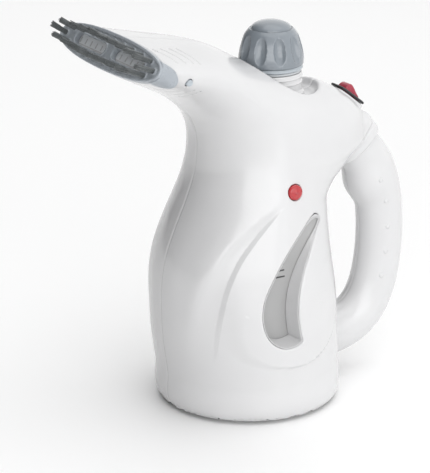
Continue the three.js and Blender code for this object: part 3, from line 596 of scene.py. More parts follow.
def surface_net(value, axes):
    """Quads round the zero surface: points, quads, each point's cell."""
    solid = value < 0
    cells = [n - 1 for n in value.shape]
    total, count = np.zeros([np.prod(cells), 3]), np.zeros(np.prod(cells))
    crossings = []
    for axis in range(3):
        low = tuple(slice(None, -1) if n == axis else slice(None) for n in range(3))
        high = tuple(slice(1, None) if n == axis else slice(None) for n in range(3))
        at = np.array(np.nonzero(solid[low] != solid[high]))
        to = at.copy()
        to[axis] += 1
        share = value[tuple(at)] / (value[tuple(at)] - value[tuple(to)])
        point = np.stack([axes[n][at[n]] for n in range(3)], -1).astype(float)
        point[:, axis] += share * (axes[axis][to[axis]] - axes[axis][at[axis]])
        first, second = (axis + 1) % 3, (axis + 2) % 3
        around, inside = [], np.ones(at.shape[1], bool)
        for da, db in EDGE_LOOP:
            cell = at.copy()
            cell[first] -= da
            cell[second] -= db
            fits = np.all((cell >= 0) & (cell < np.array(cells)[:, None]), axis=0)
            flat = np.ravel_multi_index(cell[:, fits], cells)
            np.add.at(total, flat, point[fits])
            np.add.at(count, flat, 1)
            around.append(cell)
            inside &= fits
        crossings.append((np.stack(around)[:, :, inside], solid[tuple(at)][inside]))
    used = np.nonzero(count)[0]
    number = np.full(len(count), -1, np.int64)
    number[used] = np.arange(len(used))
    quads = []
    for around, leaves_solid in crossings:
        quad = np.stack([number[np.ravel_multi_index(cell, cells)] for cell in around], -1)
        quad[~leaves_solid] = quad[~leaves_solid, ::-1]
        quads.append(quad)
    return total[used] / count[used, None], np.vstack(quads), np.array(np.unravel_index(used, cells)).T


def gradient(field, p):
    """The field's values at points, and its slopes."""
    base = field(p)
    slope = np.stack([(field(p + SLOPE_STEP * np.eye(3)[n]) - base) / SLOPE_STEP for n in range(3)], -1)
    return base, slope


def settle(field, p, moving, flat=None):
    """Moves points onto the surface; flat points keep their second coordinate."""
    base, slope = gradient(field, p[moving])
    if flat is not None:
        slope[flat[moving], 1] = 0
    move = slope * (base / np.maximum((slope**2).sum(1), 0.05))[:, None]
    size = np.linalg.norm(move, axis=1)
    p[moving] -= move * np.minimum(1, SETTLE_LIMIT / np.maximum(size, 1e-9))[:, None]


def relax(p, quads, moving):
    """Moves points half-way towards the middle of their neighbours."""
    total, count = np.zeros_like(p), np.zeros(len(p))
    for a in range(4):
        for b in ((a + 1) % 4, (a + 3) % 4):
            count += np.bincount(quads[:, a], minlength=len(p))
            for n in range(3):
                total[:, n] += np.bincount(quads[:, a], weights=p[quads[:, b], n], minlength=len(p))
    mean = total / np.maximum(count, 1)[:, None]
    p[moving] += 0.5 * (mean[moving] - p[moving])


def net_mesh(field, axes, closed=False):
    """Points and quads of a field's surface. A closed mesh is cut flat at its first layer in Y."""
    value = sample(field, axes)
    if closed:
        value[:, 0] = 9.0
    p, quads, cell = surface_net(value, axes)
    cap = cell[:, 1] == 0 if closed else np.zeros(len(p), bool)
    solid = value[:, 1] < 0
    corners = [solid[cell[:, 0] + i, cell[:, 2] + k] for i, k in np.ndindex(2, 2)]
    edge = cap & np.any(corners, axis=0) & ~np.all(corners, axis=0)
    settle(field, p, ~cap | edge, edge)
    for _ in range(RELAX_ROUNDS):
        relax(p, quads, ~cap)
        settle(field, p, ~cap)
    if closed:
        p[~cap, 1] = np.maximum(p[~cap, 1], axes[1][1])
    return p, quads


# ---------------- making pieces
def make(
    name, points, faces, slot, body="root", replaces=(), finish=None, smooth=True, sharp=None, normals=None,
):
    """A piece from points in millimetres, riding on a body and taking the place of CAD nodes.

    Its edges are crisp where faces meet at more than sharp degrees.
    """
    mesh = bpy.data.meshes.new(name)
    points = np.asarray(points, float) * MM
    if isinstance(faces, np.ndarray):
        mesh.vertices.add(len(points))
        mesh.vertices.foreach_set("co", points.astype(np.float32).ravel())
        sides = faces.shape[1]
        mesh.loops.add(faces.size)
        mesh.loops.foreach_set("vertex_index", faces.astype(np.int32).ravel())
        mesh.polygons.add(len(faces))
        mesh.polygons.foreach_set("loop_start", np.arange(0, faces.size, sides, dtype=np.int32))
        mesh.update(calc_edges=True)
    else:
        mesh.from_pydata([tuple(p) for p in points], [], faces)
    mesh.polygons.foreach_set("use_smooth", [smooth] * len(mesh.polygons))
    if normals is not None:
        mesh.normals_split_custom_set_from_vertices([tuple(n) for n in normals])
    mesh.materials.append(FINISHES[finish or slot])
    piece = bpy.data.objects.new(name, mesh)
    bpy.context.collection.objects.link(piece)
    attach(piece, body)
    if replaces:
        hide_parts(*replaces)
    if sharp:
        mesh.set_sharp_from_angle(angle=math.radians(sharp))
    return piece


def shifted(faces, base):
    """Faces whose points are numbered on from base."""
    return [tuple(base + i for i in f) for f in faces]


def flipped(faces, wanted=True):
    """Faces turned to look the other way, where wanted."""
    return [f[::-1] for f in faces] if wanted else faces


def loft_faces(rings, count, closed=False):
    """Faces over rings of count points, numbered ring by ring, with ends unless the loft is closed."""
    faces = []
    for r in range(rings if closed else rings - 1):
        low, high = r * count, ((r + 1) % rings) * count
        for i in range(count):
            j = (i + 1) % count
            faces.append((low + i, low + j, high + j, high + i))
    if not closed:
        faces.append(tuple(range(count))[::-1])
        faces.append(tuple(range((rings - 1) * count, rings * count)))
    return faces


def rounded(profile, radius=0.4, steps=3):
    """Replaces each inner corner of an open profile by a small arc."""
    out = [profile[0]]
    for before, at, after in zip(profile, profile[1:], profile[2:]):
        p, q, r = (np.array(v, float) for v in (before, at, after))
        into, away = p - q, r - q
        reach = min(radius, 0.45 * np.linalg.norm(into), 0.45 * np.linalg.norm(away))
        start = q + into / np.linalg.norm(into) * reach
        end = q + away / np.linalg.norm(away) * reach
        for t in np.linspace(0, 1, steps + 1):
            out.append(tuple((1 - t) ** 2 * start + 2 * t * (1 - t) * q + t * t * end))
    out.append(profile[-1])
    return out


def lathe(profile, segments=96, wave=None):
    """Points and faces of a turned profile: (radius, height) pairs from axis to axis, or a closed ring."""
    ring = profile[0][0] > 0
    points, rings = [], []
    for radius, height in profile:
        if radius <= 0:
            rings.append([len(points)])
            points.append((0, 0, height))
            continue
        rings.append(list(range(len(points), len(points) + segments)))
        for i in range(segments):
            a = 2 * math.pi * i / segments
            r = radius + (wave(a, height, radius) if wave else 0)
            points.append((r * math.cos(a), r * math.sin(a), height))
    pairs = list(zip(rings, rings[1:])) + ([(rings[-1], rings[0])] if ring else [])
    faces = []
    for low, high in pairs:
        for i in range(segments):
            j = (i + 1) % segments
            corner = [low[i % len(low)], low[j % len(low)], high[j % len(high)], high[i % len(high)]]
            face = tuple(dict.fromkeys(corner))
            if len(face) > 2:
                faces.append(face)
    return np.array(points), faces


# ---------------- body shells and windows
FINE, DETAIL = 1.5, 1.0
SHELL_GRID = (
    planes((-104, FINE), (-85, DETAIL), (-58, FINE), (119, 0)),
    np.concatenate([[0.13, 0.17, 0.7, 1.5], np.arange(2.5, 64, FINE)]),
    planes((-0.6, 0.8), (5, FINE), (251, 0)),
)


def fine_zone(x, y, z):
    """Where the outside of a shell has narrow grooves and edges."""
    along, off = sleeve_frame(x, z)
    collar = (np.abs(off) < 26) & ((np.abs(along) < 2) | (np.abs(along + COLLAR_WIDTH) < 2.2))
    grooves = (z > 225) & (x > -84) & (x < -57) & (y > 21)
    u, w = switch_frame(x, z)
    seat = (np.abs(u) < 14) & (y < 11) & (np.abs(w) < 4)
    spots = (np.hypot(x - LENS_X, z - LENS_Z) < 7) | (np.hypot(x - STUD_X, z - STUD_Z) < 5)
    side = (y > 40) & (np.abs(outline_distance(WINDOW, x, z)) < 2.6)
    d, share, _ = to_path(LONG_CREASE, x, z)
    crease = (y > 34) & (d < 2.6) & (share < 0.95)
    return collar | grooves | seat | ((y > 20) & spots) | side | crease


def refine(field, p, quads, chosen):
    """Cuts the chosen faces finer and moves the new points onto the surface."""
    mesh = bpy.data.meshes.new("fine")
    mesh.from_pydata(p.tolist(), [], quads.tolist())
    work = bmesh.new()
    work.from_mesh(mesh)
    work.faces.ensure_lookup_table()
    edges = {e for i in chosen for e in work.faces[i].edges}
    bmesh.ops.subdivide_edges(work, edges=list(edges), cuts=2, use_grid_fill=True)
    bmesh.ops.triangulate(work, faces=[f for f in work.faces if len(f.verts) > 4])
    work.to_mesh(mesh)
    work.free()
    points = np.empty(len(mesh.vertices) * 3)
    mesh.vertices.foreach_get("co", points)
    points = points.reshape(-1, 3)
    faces = [tuple(f.vertices) for f in mesh.polygons]
    bpy.data.meshes.remove(mesh)
    added = np.arange(len(points)) >= len(p)
    for _ in range(3):
        settle(field, points, added)
    return points, faces


GRIP_DOTS = [(91, 133.5), (96.5, 118), (98.5, 100), (97.5, 83), (94.5, 66.5)]  # X and Z on the handle
GRIP_DOT_R, GRIP_DOT_SIDES = 1.6, 20
# A dot's rings: share of its radius, height over the skin, and how far its normal leans outwards.
GRIP_DOT_RINGS = [(1.0, -0.6, 0), (1.0, -0.02, 1.2), (0.85, 0.25, 1.0), (0.6, 0.42, 0.6), (0.25, 0.52, 0.2)]


def grip_dots():
    """The low round grip dots on one side of the handle, let into its skin: points, faces and normals."""
    turn = -np.linspace(0, 2 * math.pi, GRIP_DOT_SIDES, endpoint=False)
    cos, sin = np.cos(turn), np.sin(turn)
    radial = np.stack([cos, np.zeros(GRIP_DOT_SIDES), sin], -1)
    points, faces, normals = [], [], []
    for x, z in GRIP_DOTS:
        faces += shifted(loft_faces(len(GRIP_DOT_RINGS), GRIP_DOT_SIDES), GRIP_DOT_SIDES * len(points))
        for share, rise, tilt in GRIP_DOT_RINGS:
            ring_x, ring_z = x + GRIP_DOT_R * share * cos, z + GRIP_DOT_R * share * sin
            ring = np.stack([ring_x, on_shell(ring_x, ring_z) + rise, ring_z], -1)
            facing = gradient(lambda p: outside(*p.T), ring)[1] + tilt * radial
            points.append(ring)
            normals.append(facing / np.linalg.norm(facing, axis=1)[:, None])
    return np.vstack(points), faces, np.vstack(normals)


def make_shell(hand, side):
    def field(p):
        return shell(p[:, 0], p[:, 1], p[:, 2], side)

    p, quads = net_mesh(field, SHELL_GRID, closed=True)
    middle = p[quads].mean(1)
    outer = (p[quads][:, :, 1].min(1) > 0.3) & (outside(*middle.T) > -1.4)
    chosen = np.nonzero(outer)[0]
    chosen = chosen[fine_zone(*middle[chosen].T)]
    p, faces = refine(field, p, quads, chosen)
    normals = gradient(field, p)[1]
    dots, dot_faces, dot_normals = grip_dots()
    faces += shifted(dot_faces, len(p))
    p, normals = np.vstack([p, dots]), np.vstack([normals, dot_normals])
    p[:, 1] *= side
    normals[:, 1] *= side
    make(f"shell_{hand}", p, flipped(faces, side < 0), "white_shell", replaces=[f"body_shell_{hand}"],
         normals=normals)


def on_shell(x, z):
    """Distance from the mirror plane to the outside of the body, for points on its side."""
    y = np.full(len(x), 70.0)
    for _ in range(30):
        y -= 0.8 * outside(x, y, z)
    return y


def inward(outline, inset):
    """A closed outline moved inwards."""
    ahead, behind = np.roll(outline, -1, axis=0), np.roll(outline, 1, axis=0)
    along = ahead - behind
    along /= np.linalg.norm(along, axis=1)[:, None]
    turn = np.sum(outline[:, 0] * ahead[:, 1] - ahead[:, 0] * outline[:, 1])
    return outline + np.sign(turn) * inset * np.stack([-along[:, 1], along[:, 0]], -1)


def inset_rings(outline, rings, side):
    """Points of rings, each an outline moved inwards and set at a distance from the mirror plane."""
    points = []
    for inset, y in rings:
        edge = inward(outline, inset)
        points.append(np.stack([edge[:, 0], np.broadcast_to(side * y, len(edge)), edge[:, 1]], -1))
    return np.vstack(points)


PANE_FRONT, PANE_BACK = 46.9, 45.0
PANE_RINGS = [(0.6, PANE_BACK), (0.3, PANE_BACK + 0.3), (0.3, PANE_FRONT - 0.4), (0.7, PANE_FRONT)]
SLEEVE_FOOT = 47.2


def make_window(hand, side):
    outline = WINDOW[:-1]
    skin = on_shell(outline[:, 0], outline[:, 1])
    foot = np.full(len(outline), SLEEVE_FOOT)
    wall = [
        (0.12, foot), (0.12, skin - 1.0), (0.2, skin - 0.75), (0.45, skin - 0.65), (0.7, skin - 0.9),
        (0.85, skin - 1.5), (1.7, foot + 1.2), (2.3, foot + 0.3), (2.3, foot),
    ]
    faces = flipped(loft_faces(len(wall), len(outline), closed=True), side > 0)
    make(f"window_wall_{hand}", inset_rings(outline, wall, side), faces, "light_grey_plastic",
         replaces=[f"window_sleeve_{hand}"], finish="window_wall")
    faces = flipped(loft_faces(len(PANE_RINGS), len(outline)), side < 0)
    pane = make(f"window_pane_{hand}", inset_rings(outline, PANE_RINGS, side), faces, "smoked_window",
                replaces=[f"water_window_{hand}"])
    pane.data.polygons.foreach_set("use_smooth", [len(f.vertices) == 4 for f in pane.data.polygons])
    make_level_marks(hand, side)


LEVEL_MARKS = [(-5.2, 102.6, 2.2), (-5.2, 98.4, 2.8), (-5.6, 94.2, 3.6)]  # centre X and Z, half length
MARK_HALF, MARK_CORNER = 0.5, 0.45
MARK_RINGS = [(0, -0.2), (0, 0.12), (0.15, 0.2)]  # inset, and height over the pane


def make_level_marks(hand, side):
    """Plain raised level lines on the window."""
    points, faces = [], []
    for x, z, half in LEVEL_MARKS:
        outline = rounded_rectangle(half, MARK_HALF, MARK_CORNER, 3)[::-1]
        mark = shifted(loft_faces(len(MARK_RINGS), len(outline)), len(points))
        faces += flipped(mark, side < 0)
        for inset, rise in MARK_RINGS:
            across, up = 1 - inset / half, 1 - inset / MARK_HALF
            points += [(x + u * across, side * (PANE_FRONT + rise), z + v * up) for u, v in outline]
    make(f"level_marks_{hand}", points, faces, "black_plastic", finish="mark_grey", smooth=False)


# ---------------- filler neck and cap
CAP_BORE = [(0, 236), (8, 236), (8, 218.8), (19.4, 218.8)]
CAP_WALL = [(20.1, 218.8), (20.6, 219.2), (20.7, 220), (20.7, 224), (20.3, 227), (19.7, 229.5),
            (18.6, 233.2), (17.4, 236.4), (15.9, 239.2), (14.2, 241.1)]
CAP_CROWN = [(14.2, 241.1), (13.9, 241.35), (13.55, 241.35), (13.3, 241.1), (13.05, 240.95), (12.8, 241.15)]
CAP_WALL_STEP = 0.45
DOME_R, DOME_Z, DOME_RISE, CAP_TOP = 12.8, 241.15, 5.3, 246.5
CAP_FLUTES, FLUTE_PHASE = 10, math.radians(-15.7)
FLUTE_Z, FLUTE_OUT, FLUTE_LEAN = 230.4, 21.9, 0.27
FLUTE_SIZE = (5.0, 4.8, 12.4)
FLUTE_LOW, FLUTE_TOP, FLUTE_INNER = 219.3, 240.6, 13  # heights and radius past which there are no flutes
FLUTE_SEGMENTS, QUICK_FLUTE_SEGMENTS = 36, 16


def flute(angle, height, radius):
    """How much a flute takes off the cap's radius."""
    pitch = 2 * math.pi / CAP_FLUTES
    turn = ((angle - FLUTE_PHASE) % pitch) - pitch / 2
    h = height - FLUTE_Z
    cos, sin = math.cos(FLUTE_LEAN), math.sin(FLUTE_LEAN)
    # A point of the ray is (r cos turn - out, r sin turn, h), leaned about the tangent.
    ax, ay, az = (math.cos(turn) * cos, math.sin(turn), math.cos(turn) * -sin)
    bx, by, bz = (-FLUTE_OUT * cos + h * sin, 0.0, FLUTE_OUT * sin + h * cos)
    sx, sy, sz = FLUTE_SIZE
    a = (ax / sx) ** 2 + (ay / sy) ** 2 + (az / sz) ** 2
    b = ax * bx / sx**2 + ay * by / sy**2 + az * bz / sz**2
    c = (bx / sx) ** 2 + (by / sy) ** 2 + (bz / sz) ** 2 - 1
    inside = b * b - a * c
    if inside <= 0:
        return 0.0
    return min(0.0, (-b - math.sqrt(inside)) / a - radius)


def make_cap():
    wall = []
    edge = np.array(rounded(CAP_WALL, 1.2, 3))
    for (r0, z0), (r1, z1) in zip(edge, edge[1:]):
        steps = max(1, round((z1 - z0) / CAP_WALL_STEP))
        wall += [(r0 + (r1 - r0) * t / steps, z0 + (z1 - z0) * t / steps) for t in range(steps)]
    rise = np.linspace(0, math.pi / 2, 14)[1:-1]
    dome = [(DOME_R * math.cos(a), DOME_Z + DOME_RISE * math.sin(a)) for a in rise]

    def wave(angle, height, radius):
        fluted = FLUTE_LOW < height < FLUTE_TOP and radius > FLUTE_INNER
        return flute(angle, height, radius) if fluted else 0.0

    profile = [*CAP_BORE, *wall, *CAP_CROWN, *dome, (0, CAP_TOP)]
    segments = FLUTE_SEGMENTS
    points, faces = lathe(profile, CAP_FLUTES * segments, wave)
    points[:, 0] += NECK_X
    make("cap_grip_moulding", points, faces, "grey_plastic", "cap", ["cap_grip"], sharp=28)


def lathed(name, profile, slot, body, replaces, place=(0, 0, 0), way=(0, 0, 1), segments=96):
    """A turned piece: its profile's heights run from place along way."""
    points, faces = lathe(profile, segments)
    turn = Vector((0, 0, 1)).rotation_difference(Vector(way)).to_matrix()
    points = points @ np.array(turn).T + np.array(place, float)
    make(name, points, faces, slot, body, replaces, sharp=35)


NECK = [
    (16, 168), (19.4, 168), (19.4, 198.6), (19.4, 199.4), (21.3, 199.4), (21.3, 201.6), (19.9, 202.4),
    (19.5, 203.2), (19.5, 207.2), (20, 207.7), (20, 208.3), (19.5, 208.8), (19.5, 210.6), (20, 211.1),
    (20, 211.7), (19.5, 212.2), (19.5, 214), (16, 214), (16, 211.5), (15.75, 211), (15.75, 209.6),
    (16, 209.1), (16, 168),
]
CAP_GASKET = [(15, 214.4), (19, 214.4), (19.1, 215), (19, 215.8), (14.6, 215.8), (14.6, 214.4), (15, 214.4)]
CAP_BAND = [(18.8, 216.1), (19.6, 216.1), (20.1, 216.5), (20.1, 217.5), (19.7, 218), (19.7, 218.5),
            (18.7, 218.5), (18.7, 216.1), (18.8, 216.1)]
THREAD_R, THREAD_ROOT, THREAD_Z, THREAD_PITCH, THREAD_TURNS = 15.4, 14.5, 206.6, 1.7, 4


def make_neck():
    place = (NECK_X, 0, 0)
    lathed("neck_moulding", rounded(NECK, 0.35, 2)[:-1], "white_shell", "root", ["filler_neck"], place)
    lathed("cap_gasket", rounded(CAP_GASKET, 0.4)[:-1], "silicone", "cap_lift", ["cap_seal"], place)
    lathed("cap_band", rounded(CAP_BAND, 0.3)[:-1], "light_grey_plastic", "cap", ["cap_skirt"], place)
    thread = []
    for turn in range(THREAD_TURNS):
        z = THREAD_Z + turn * THREAD_PITCH
        thread += [(THREAD_R, z), (THREAD_ROOT, z + 0.5), (THREAD_ROOT, z + 0.9), (THREAD_R, z + 1.4)]
    plug = [
        (4.4, 205), (14.6, 205), (15.4, 205.8), *thread, (15.4, 214), (14.2, 214.3), (14.2, 216.1),
        (18.2, 216.1), (18.2, 218.5), (7, 218.5), (7, 208), (4.4, 208), (4.4, 205),
    ]
    lathed("cap_thread", rounded(plug, 0.3, 2)[:-1], "grey_plastic", "cap", ["cap_plug"], place)


SPRING_LOW, SPRING_TOP, SPRING_R, WIRE_R, COILS = 210.6, 235.4, 4.2, 0.6, 6
COIL_STEPS, WIRE_SIDES = 28, 10


def make_spring():
    """The relief valve's spring."""
    steps = COILS * COIL_STEPS
    points = []
    for i in range(steps + 1):
        turn = 2 * math.pi * i / COIL_STEPS
        height = SPRING_LOW + WIRE_R + (SPRING_TOP - SPRING_LOW - 2 * WIRE_R) * i / steps
        for s in range(WIRE_SIDES):
            a = 2 * math.pi * s / WIRE_SIDES
            r = SPRING_R + WIRE_R * math.cos(a)
            points.append((NECK_X + r * math.cos(turn), r * math.sin(turn), height + WIRE_R * math.sin(a)))
    faces = loft_faces(steps + 1, WIRE_SIDES)
    spring = make("valve_spring", points, faces, "steel", "cap", ["relief_spring"])
    height = SPRING_TOP - SPRING_LOW
    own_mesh(spring)


# ---------------- small round pieces
LENS_RIM = [(0, -44.6), (4.9, -44.6), (4.9, -47.6), (4.55, -48.5), (4.2, -48.3)]
LENS_RIDGES = 4
STUD = [(0, 47.6), (2.1, 47.6), (2.1, 53.2), (1.7, 53.7), (1.0, 53.6), (0, 53.3)]
FOOT = [(0, 1.3), (5.5, 1.3), (5.5, 0.5), (5.1, 0), (3.4, 0), (3, 0.35), (2, 0.35), (1.7, 0.1), (0, 0.1)]
FOOT_SPOTS = [(31, 31), (-31, 31), (-31, -31), (31, -31)]
INLET = [(3.2, 51), (4.4, 51), (4.4, 59.6), (5.2, 59.6), (5.2, 61.3), (4.6, 62), (3.5, 62), (3.2, 61.6),
         (3.2, 51)]


def make_round_trim():
    ridges = []
    for n in range(LENS_RIDGES):
        r, z = 3.9 - n * 0.95, -48.55 - 0.25 * n
        ridges += [(r, z), (r - 0.55, -48.8 - 0.25 * n)]
    cover = [(r, -z) for r, z in rounded(LENS_RIM, 0.3) + ridges + [(0, -49.9)]]
    lathed("indicator_cover", cover, "red_lens", "root", ["indicator_lens"], (LENS_X, 0, LENS_Z),
           (0, -1, 0))
    for hand, side in HANDS:
        lathed(f"stud_{hand}", rounded(STUD, 0.3), "light_grey_plastic", "root", [f"nozzle_stud_{hand}"],
               (STUD_X, 0, STUD_Z), (0, side, 0), 40)
    for n, (x, y) in enumerate(FOOT_SPOTS, 1):
        lathed(f"foot_pad_{n}", rounded(FOOT, 0.25)[::-1], "rubber_foot", "root", [f"foot_{n}"], (x, y, 0),
               segments=48)
    lathed("inlet_bush", rounded(INLET, 0.3)[:-1], "black_plastic", "root", ["cord_inlet"], (0, 0, INLET_Z),
           (1, 0, 0), 48)


SCREW_STEP = 0.28
SCREW_LENGTH, SCREW_CROWN = 9, 0.035
CROSS_HALF, CROSS_LENGTH, CROSS_DEPTH = 0.42, 1.9, 1.5


def make_screws():
    """Pan heads with a cross recess, one for each shell screw."""
    def field(p):
        x, y, z = p.T
        r = np.hypot(x, z)
        shank = np.maximum(r - SCREW_R, -SCREW_LENGTH - y)
        head = smooth_max(shank, y + r * r * SCREW_CROWN, 0.6)
        for u, v in ((x, z), (z, x)):
            cross = np.maximum(np.abs(u) - CROSS_HALF, np.abs(v) - CROSS_LENGTH - 0.35 * y)
            head = smooth_max(head, -np.maximum(cross, -CROSS_DEPTH - y), 0.15)
        return head

    across = np.arange(-3.6, 3.7, SCREW_STEP)
    p, quads = net_mesh(field, [across, planes((-9.6, 0.8), (-2.2, SCREW_STEP), (0.8, 0)), across])
    for n, (x, z, y) in enumerate(SCREWS, 1):
        make(f"screw_head_{n}", p + np.array([x, y, z]), quads[:, ::-1], "steel",
             replaces=[f"shell_screw_{n}"], sharp=50)


# ---------------- bristle head
NOZZLE = np.array([-97.9, 0, 240.4])
NOZZLE_TURN = math.radians(57)
NOZZLE_OUT = np.array([-math.sin(NOZZLE_TURN), 0, math.cos(NOZZLE_TURN)])
NOZZLE_ACROSS = np.array([math.cos(NOZZLE_TURN), 0, math.sin(NOZZLE_TURN)])  # up the short side of the lens
LENS_LONG, LENS_SHORT, LENS_POWER = 62.2, 11.8, 2.35
PLATE_HALF, RIM_WIDTH, CHANNEL_FLOOR = 2, 2.2, 1.1
SLOT_HALF, SLOT_NEAR, SLOT_FAR = 3.6, 4.5, 43.0
SLOT_LIP, LIP_HALF, LIP_TOP = 0.5, 0.55, 1.9
BOSS_R, BOSS_TOP = 2.1, 1.75
TAB_START, TAB_LENGTH, TAB_HALF, TAB_POWER = 50.0, 13.0, 7.3, 2.8
TAB_SKIN, TAB_CLEAR, TAB_WALL = 1.7, 0.5, 1.9  # over the nozzle, gap to it, and inset from the lens
TUFT_LENGTH, TUFT_FOOT, TUFT_PITCH, TUFT_INSET, END_TUFT = 13.0, 1.4, 12.0, 5.2, 55.0
TUFT_LEAN = (0.1, -0.19)  # along and across the head, at its nearer end
TUFT_SPLAY, TUFT_STRAY, TUFT_DOMING = 0.018, 0.03, 0.25
FILAMENT_R, FILAMENT_SIDES, FILAMENT_RINGS = 0.26, 5, 4
FILAMENT_STRAY, FILAMENT_TAPER, FILAMENT_CURL, LENGTH_SPREAD = 0.022, 0.25, 0.25, 0.9
SEED = 7
BUNDLE = ((0.5, 6), (0.94, 11), (1.3, 15))  # rings of filaments: distance from the middle, and how many


def from_nozzle(p):
    """Points in the steamer's frame, from out along the nozzle, across, and up the head's short side."""
    out, up = np.outer(p[:, 0], NOZZLE_OUT), np.outer(p[:, 2], NOZZLE_ACROSS)
    return NOZZLE + out + np.outer(p[:, 1], [0, 1, 0]) + up


def lens(y, z, inset=0.0):
    """Distance outside the head's outline."""
    long, short, power = LENS_LONG - inset, LENS_SHORT - inset, LENS_POWER
    a, b = np.abs(y) / long, np.abs(z) / short
    f = np.maximum((a**power + b**power) ** (1 / power), LEAST)
    return (f - 1) / np.hypot((a / f) ** (power - 1) / long, (b / f) ** (power - 1) / short)


def slot_distance(y, z, grow=0.0):
    """Distance to the two round-ended steam slots."""
    middle, half = (SLOT_NEAR + SLOT_FAR) / 2, (SLOT_FAR - SLOT_NEAR) / 2
    over = np.maximum(np.abs(np.abs(y) - middle) - half + SLOT_HALF, 0)
    return np.hypot(over, z) - SLOT_HALF - grow


def tuft_spots():
    """Where the tufts stand: two rows that follow the head's outline, and one at each end."""
    spots = [(-END_TUFT, 0.0), (END_TUFT, 0.0)]
    for row in (-1, 1):
        for n in range(-4, 5):
            y = TUFT_PITCH * n
            height = (1 - abs(y / LENS_LONG) ** LENS_POWER) ** (1 / LENS_POWER)
            spots.append((y, row * (LENS_SHORT - TUFT_INSET) * height))
    return spots


HEAD_STEP, QUICK_HEAD_STEP = 0.5, 1.0


def make_bristle_head():
    spots = tuft_spots()

    def field(p):
        x, y, z = p.T
        back = -PLATE_HALF - x
        plate = smooth_max(np.maximum(lens(y, z), back), x - PLATE_HALF, 0.9)
        channel = smooth_max(lens(y, z, RIM_WIDTH), CHANNEL_FLOOR - x, 0.5)
        plate = smooth_max(plate, -channel, 0.6)
        lip = smooth_max(np.abs(slot_distance(y, z, SLOT_LIP)) - LIP_HALF, x - LIP_TOP, 0.3)
        plate = smooth_min(plate, np.maximum(lip, back), 0.5)
        for ty, tz in spots:
            boss = smooth_max(np.hypot(y - ty, z - tz) - BOSS_R, x - BOSS_TOP, 0.5)
            near = np.abs(y - ty) < 6
            plate[near] = smooth_min(plate[near], np.maximum(boss, back)[near], 0.7)
        ends = np.abs(y) > 40
        x_end, y_end, z_end = x[ends], np.abs(y[ends]), z[ends]
        skin = body(*from_nozzle(p[ends]).T)
        tab = smooth_max(smooth_min(skin - TAB_SKIN, lens(y_end, z_end), 1.5), TAB_START - y_end, 1.2)
        along, across = np.abs(x_end + 1) / (TAB_LENGTH - 1), np.abs(z_end) / TAB_HALF
        tab = smooth_max(tab, (along**TAB_POWER + across**TAB_POWER - 1) * 4.5, 1.2)
        clear = np.minimum(skin - TAB_CLEAR, lens(y_end, z_end, TAB_WALL))
        tab = smooth_max(np.maximum(tab, x_end - 0.5), -clear, 0.3)
        plate[ends] = smooth_min(plate[ends], tab, 0.4)
        return smooth_max(plate, -slot_distance(y, z), 0.5)

    spans = ((-17.4, 3), (-63.4, 64), (-13.6, 14))
    step = HEAD_STEP
    p, quads = net_mesh(field, [np.arange(low, high, step) for low, high in spans])
    normals = gradient(field, p)[1] @ np.array([NOZZLE_OUT, [0, 1, 0], NOZZLE_ACROSS])
    make("bristle_head_moulding", from_nozzle(p), quads[:, ::-1], "grey_plastic", "head",
         ["bristle_head_frame"], "head_grey", normals=normals)


def make_tufts():
    """Bundles of nylon filaments, each a slim tapering tube, packed in rings and splayed a little."""
    chance = random.Random(SEED)

    def stray(most):
        return chance.uniform(-most, most)

    filaments = [(0.0, 0.0)]
    for ring, count in BUNDLE:
        for n in range(count):
            turn = 2 * math.pi * n / count
            filaments.append((ring * math.cos(turn), ring * math.sin(turn)))
    tube = flipped(loft_faces(FILAMENT_RINGS, FILAMENT_SIDES))
    points, faces = [], []
    for ty, tz in tuft_spots():
        near = 0.5 - ty / (2 * END_TUFT)
        lean_y = stray(TUFT_STRAY) + TUFT_LEAN[0] * near
        lean_z = stray(TUFT_STRAY) + TUFT_LEAN[1] * near
        for fy, fz in filaments:
            faces += shifted(tube, len(points))
            length = TUFT_LENGTH - chance.uniform(0, LENGTH_SPREAD) - TUFT_DOMING * math.hypot(fy, fz)
            splay_y = TUFT_SPLAY * fy + lean_y + stray(FILAMENT_STRAY)
            splay_z = TUFT_SPLAY * fz + lean_z + stray(FILAMENT_STRAY)
            curl = stray(FILAMENT_CURL)
            for r in range(FILAMENT_RINGS):
                t = r / (FILAMENT_RINGS - 1)
                radius = FILAMENT_R * (1 - FILAMENT_TAPER * t**3)
                y = ty + fy + splay_y * length * t + curl * t * t * 0.5
                z = tz + fz + splay_z * length * t + curl * t * t * 0.5
                for s in range(FILAMENT_SIDES):
                    a = 2 * math.pi * s / FILAMENT_SIDES
                    rim = (y + radius * math.cos(a), z + radius * math.sin(a))
                    points.append((TUFT_FOOT + length * t, *rim))
    make("bristle_filaments", from_nozzle(np.array(points)), faces, "bristle", "head", ["bristle_tufts"],
         sharp=80)


# ---------------- switch
def rounded_rectangle(half_x, half_y, corner, steps=6):
    """Outline of a rectangle with round corners."""
    points = []
    for cx, cy, start in ((1, 1, 0), (-1, 1, 90), (-1, -1, 180), (1, -1, 270)):
        for n in range(steps + 1):
            a = math.radians(start + 90 * n / steps)
            x = cx * (half_x - corner) + corner * math.cos(a)
            points.append((x, cy * (half_y - corner) + corner * math.sin(a)))
    return points


def from_switch(points):
    """Points in the steamer's frame, from along the switch, across it and out of it."""
    p = np.asarray(points, float)
    cos, sin = math.cos(SWITCH_TURN), math.sin(SWITCH_TURN)
    x = SWITCH_X + p[:, 0] * cos + p[:, 2] * sin
    z = SWITCH_Z - p[:, 0] * sin + p[:, 2] * cos
    return np.stack([x, p[:, 1], z], -1)


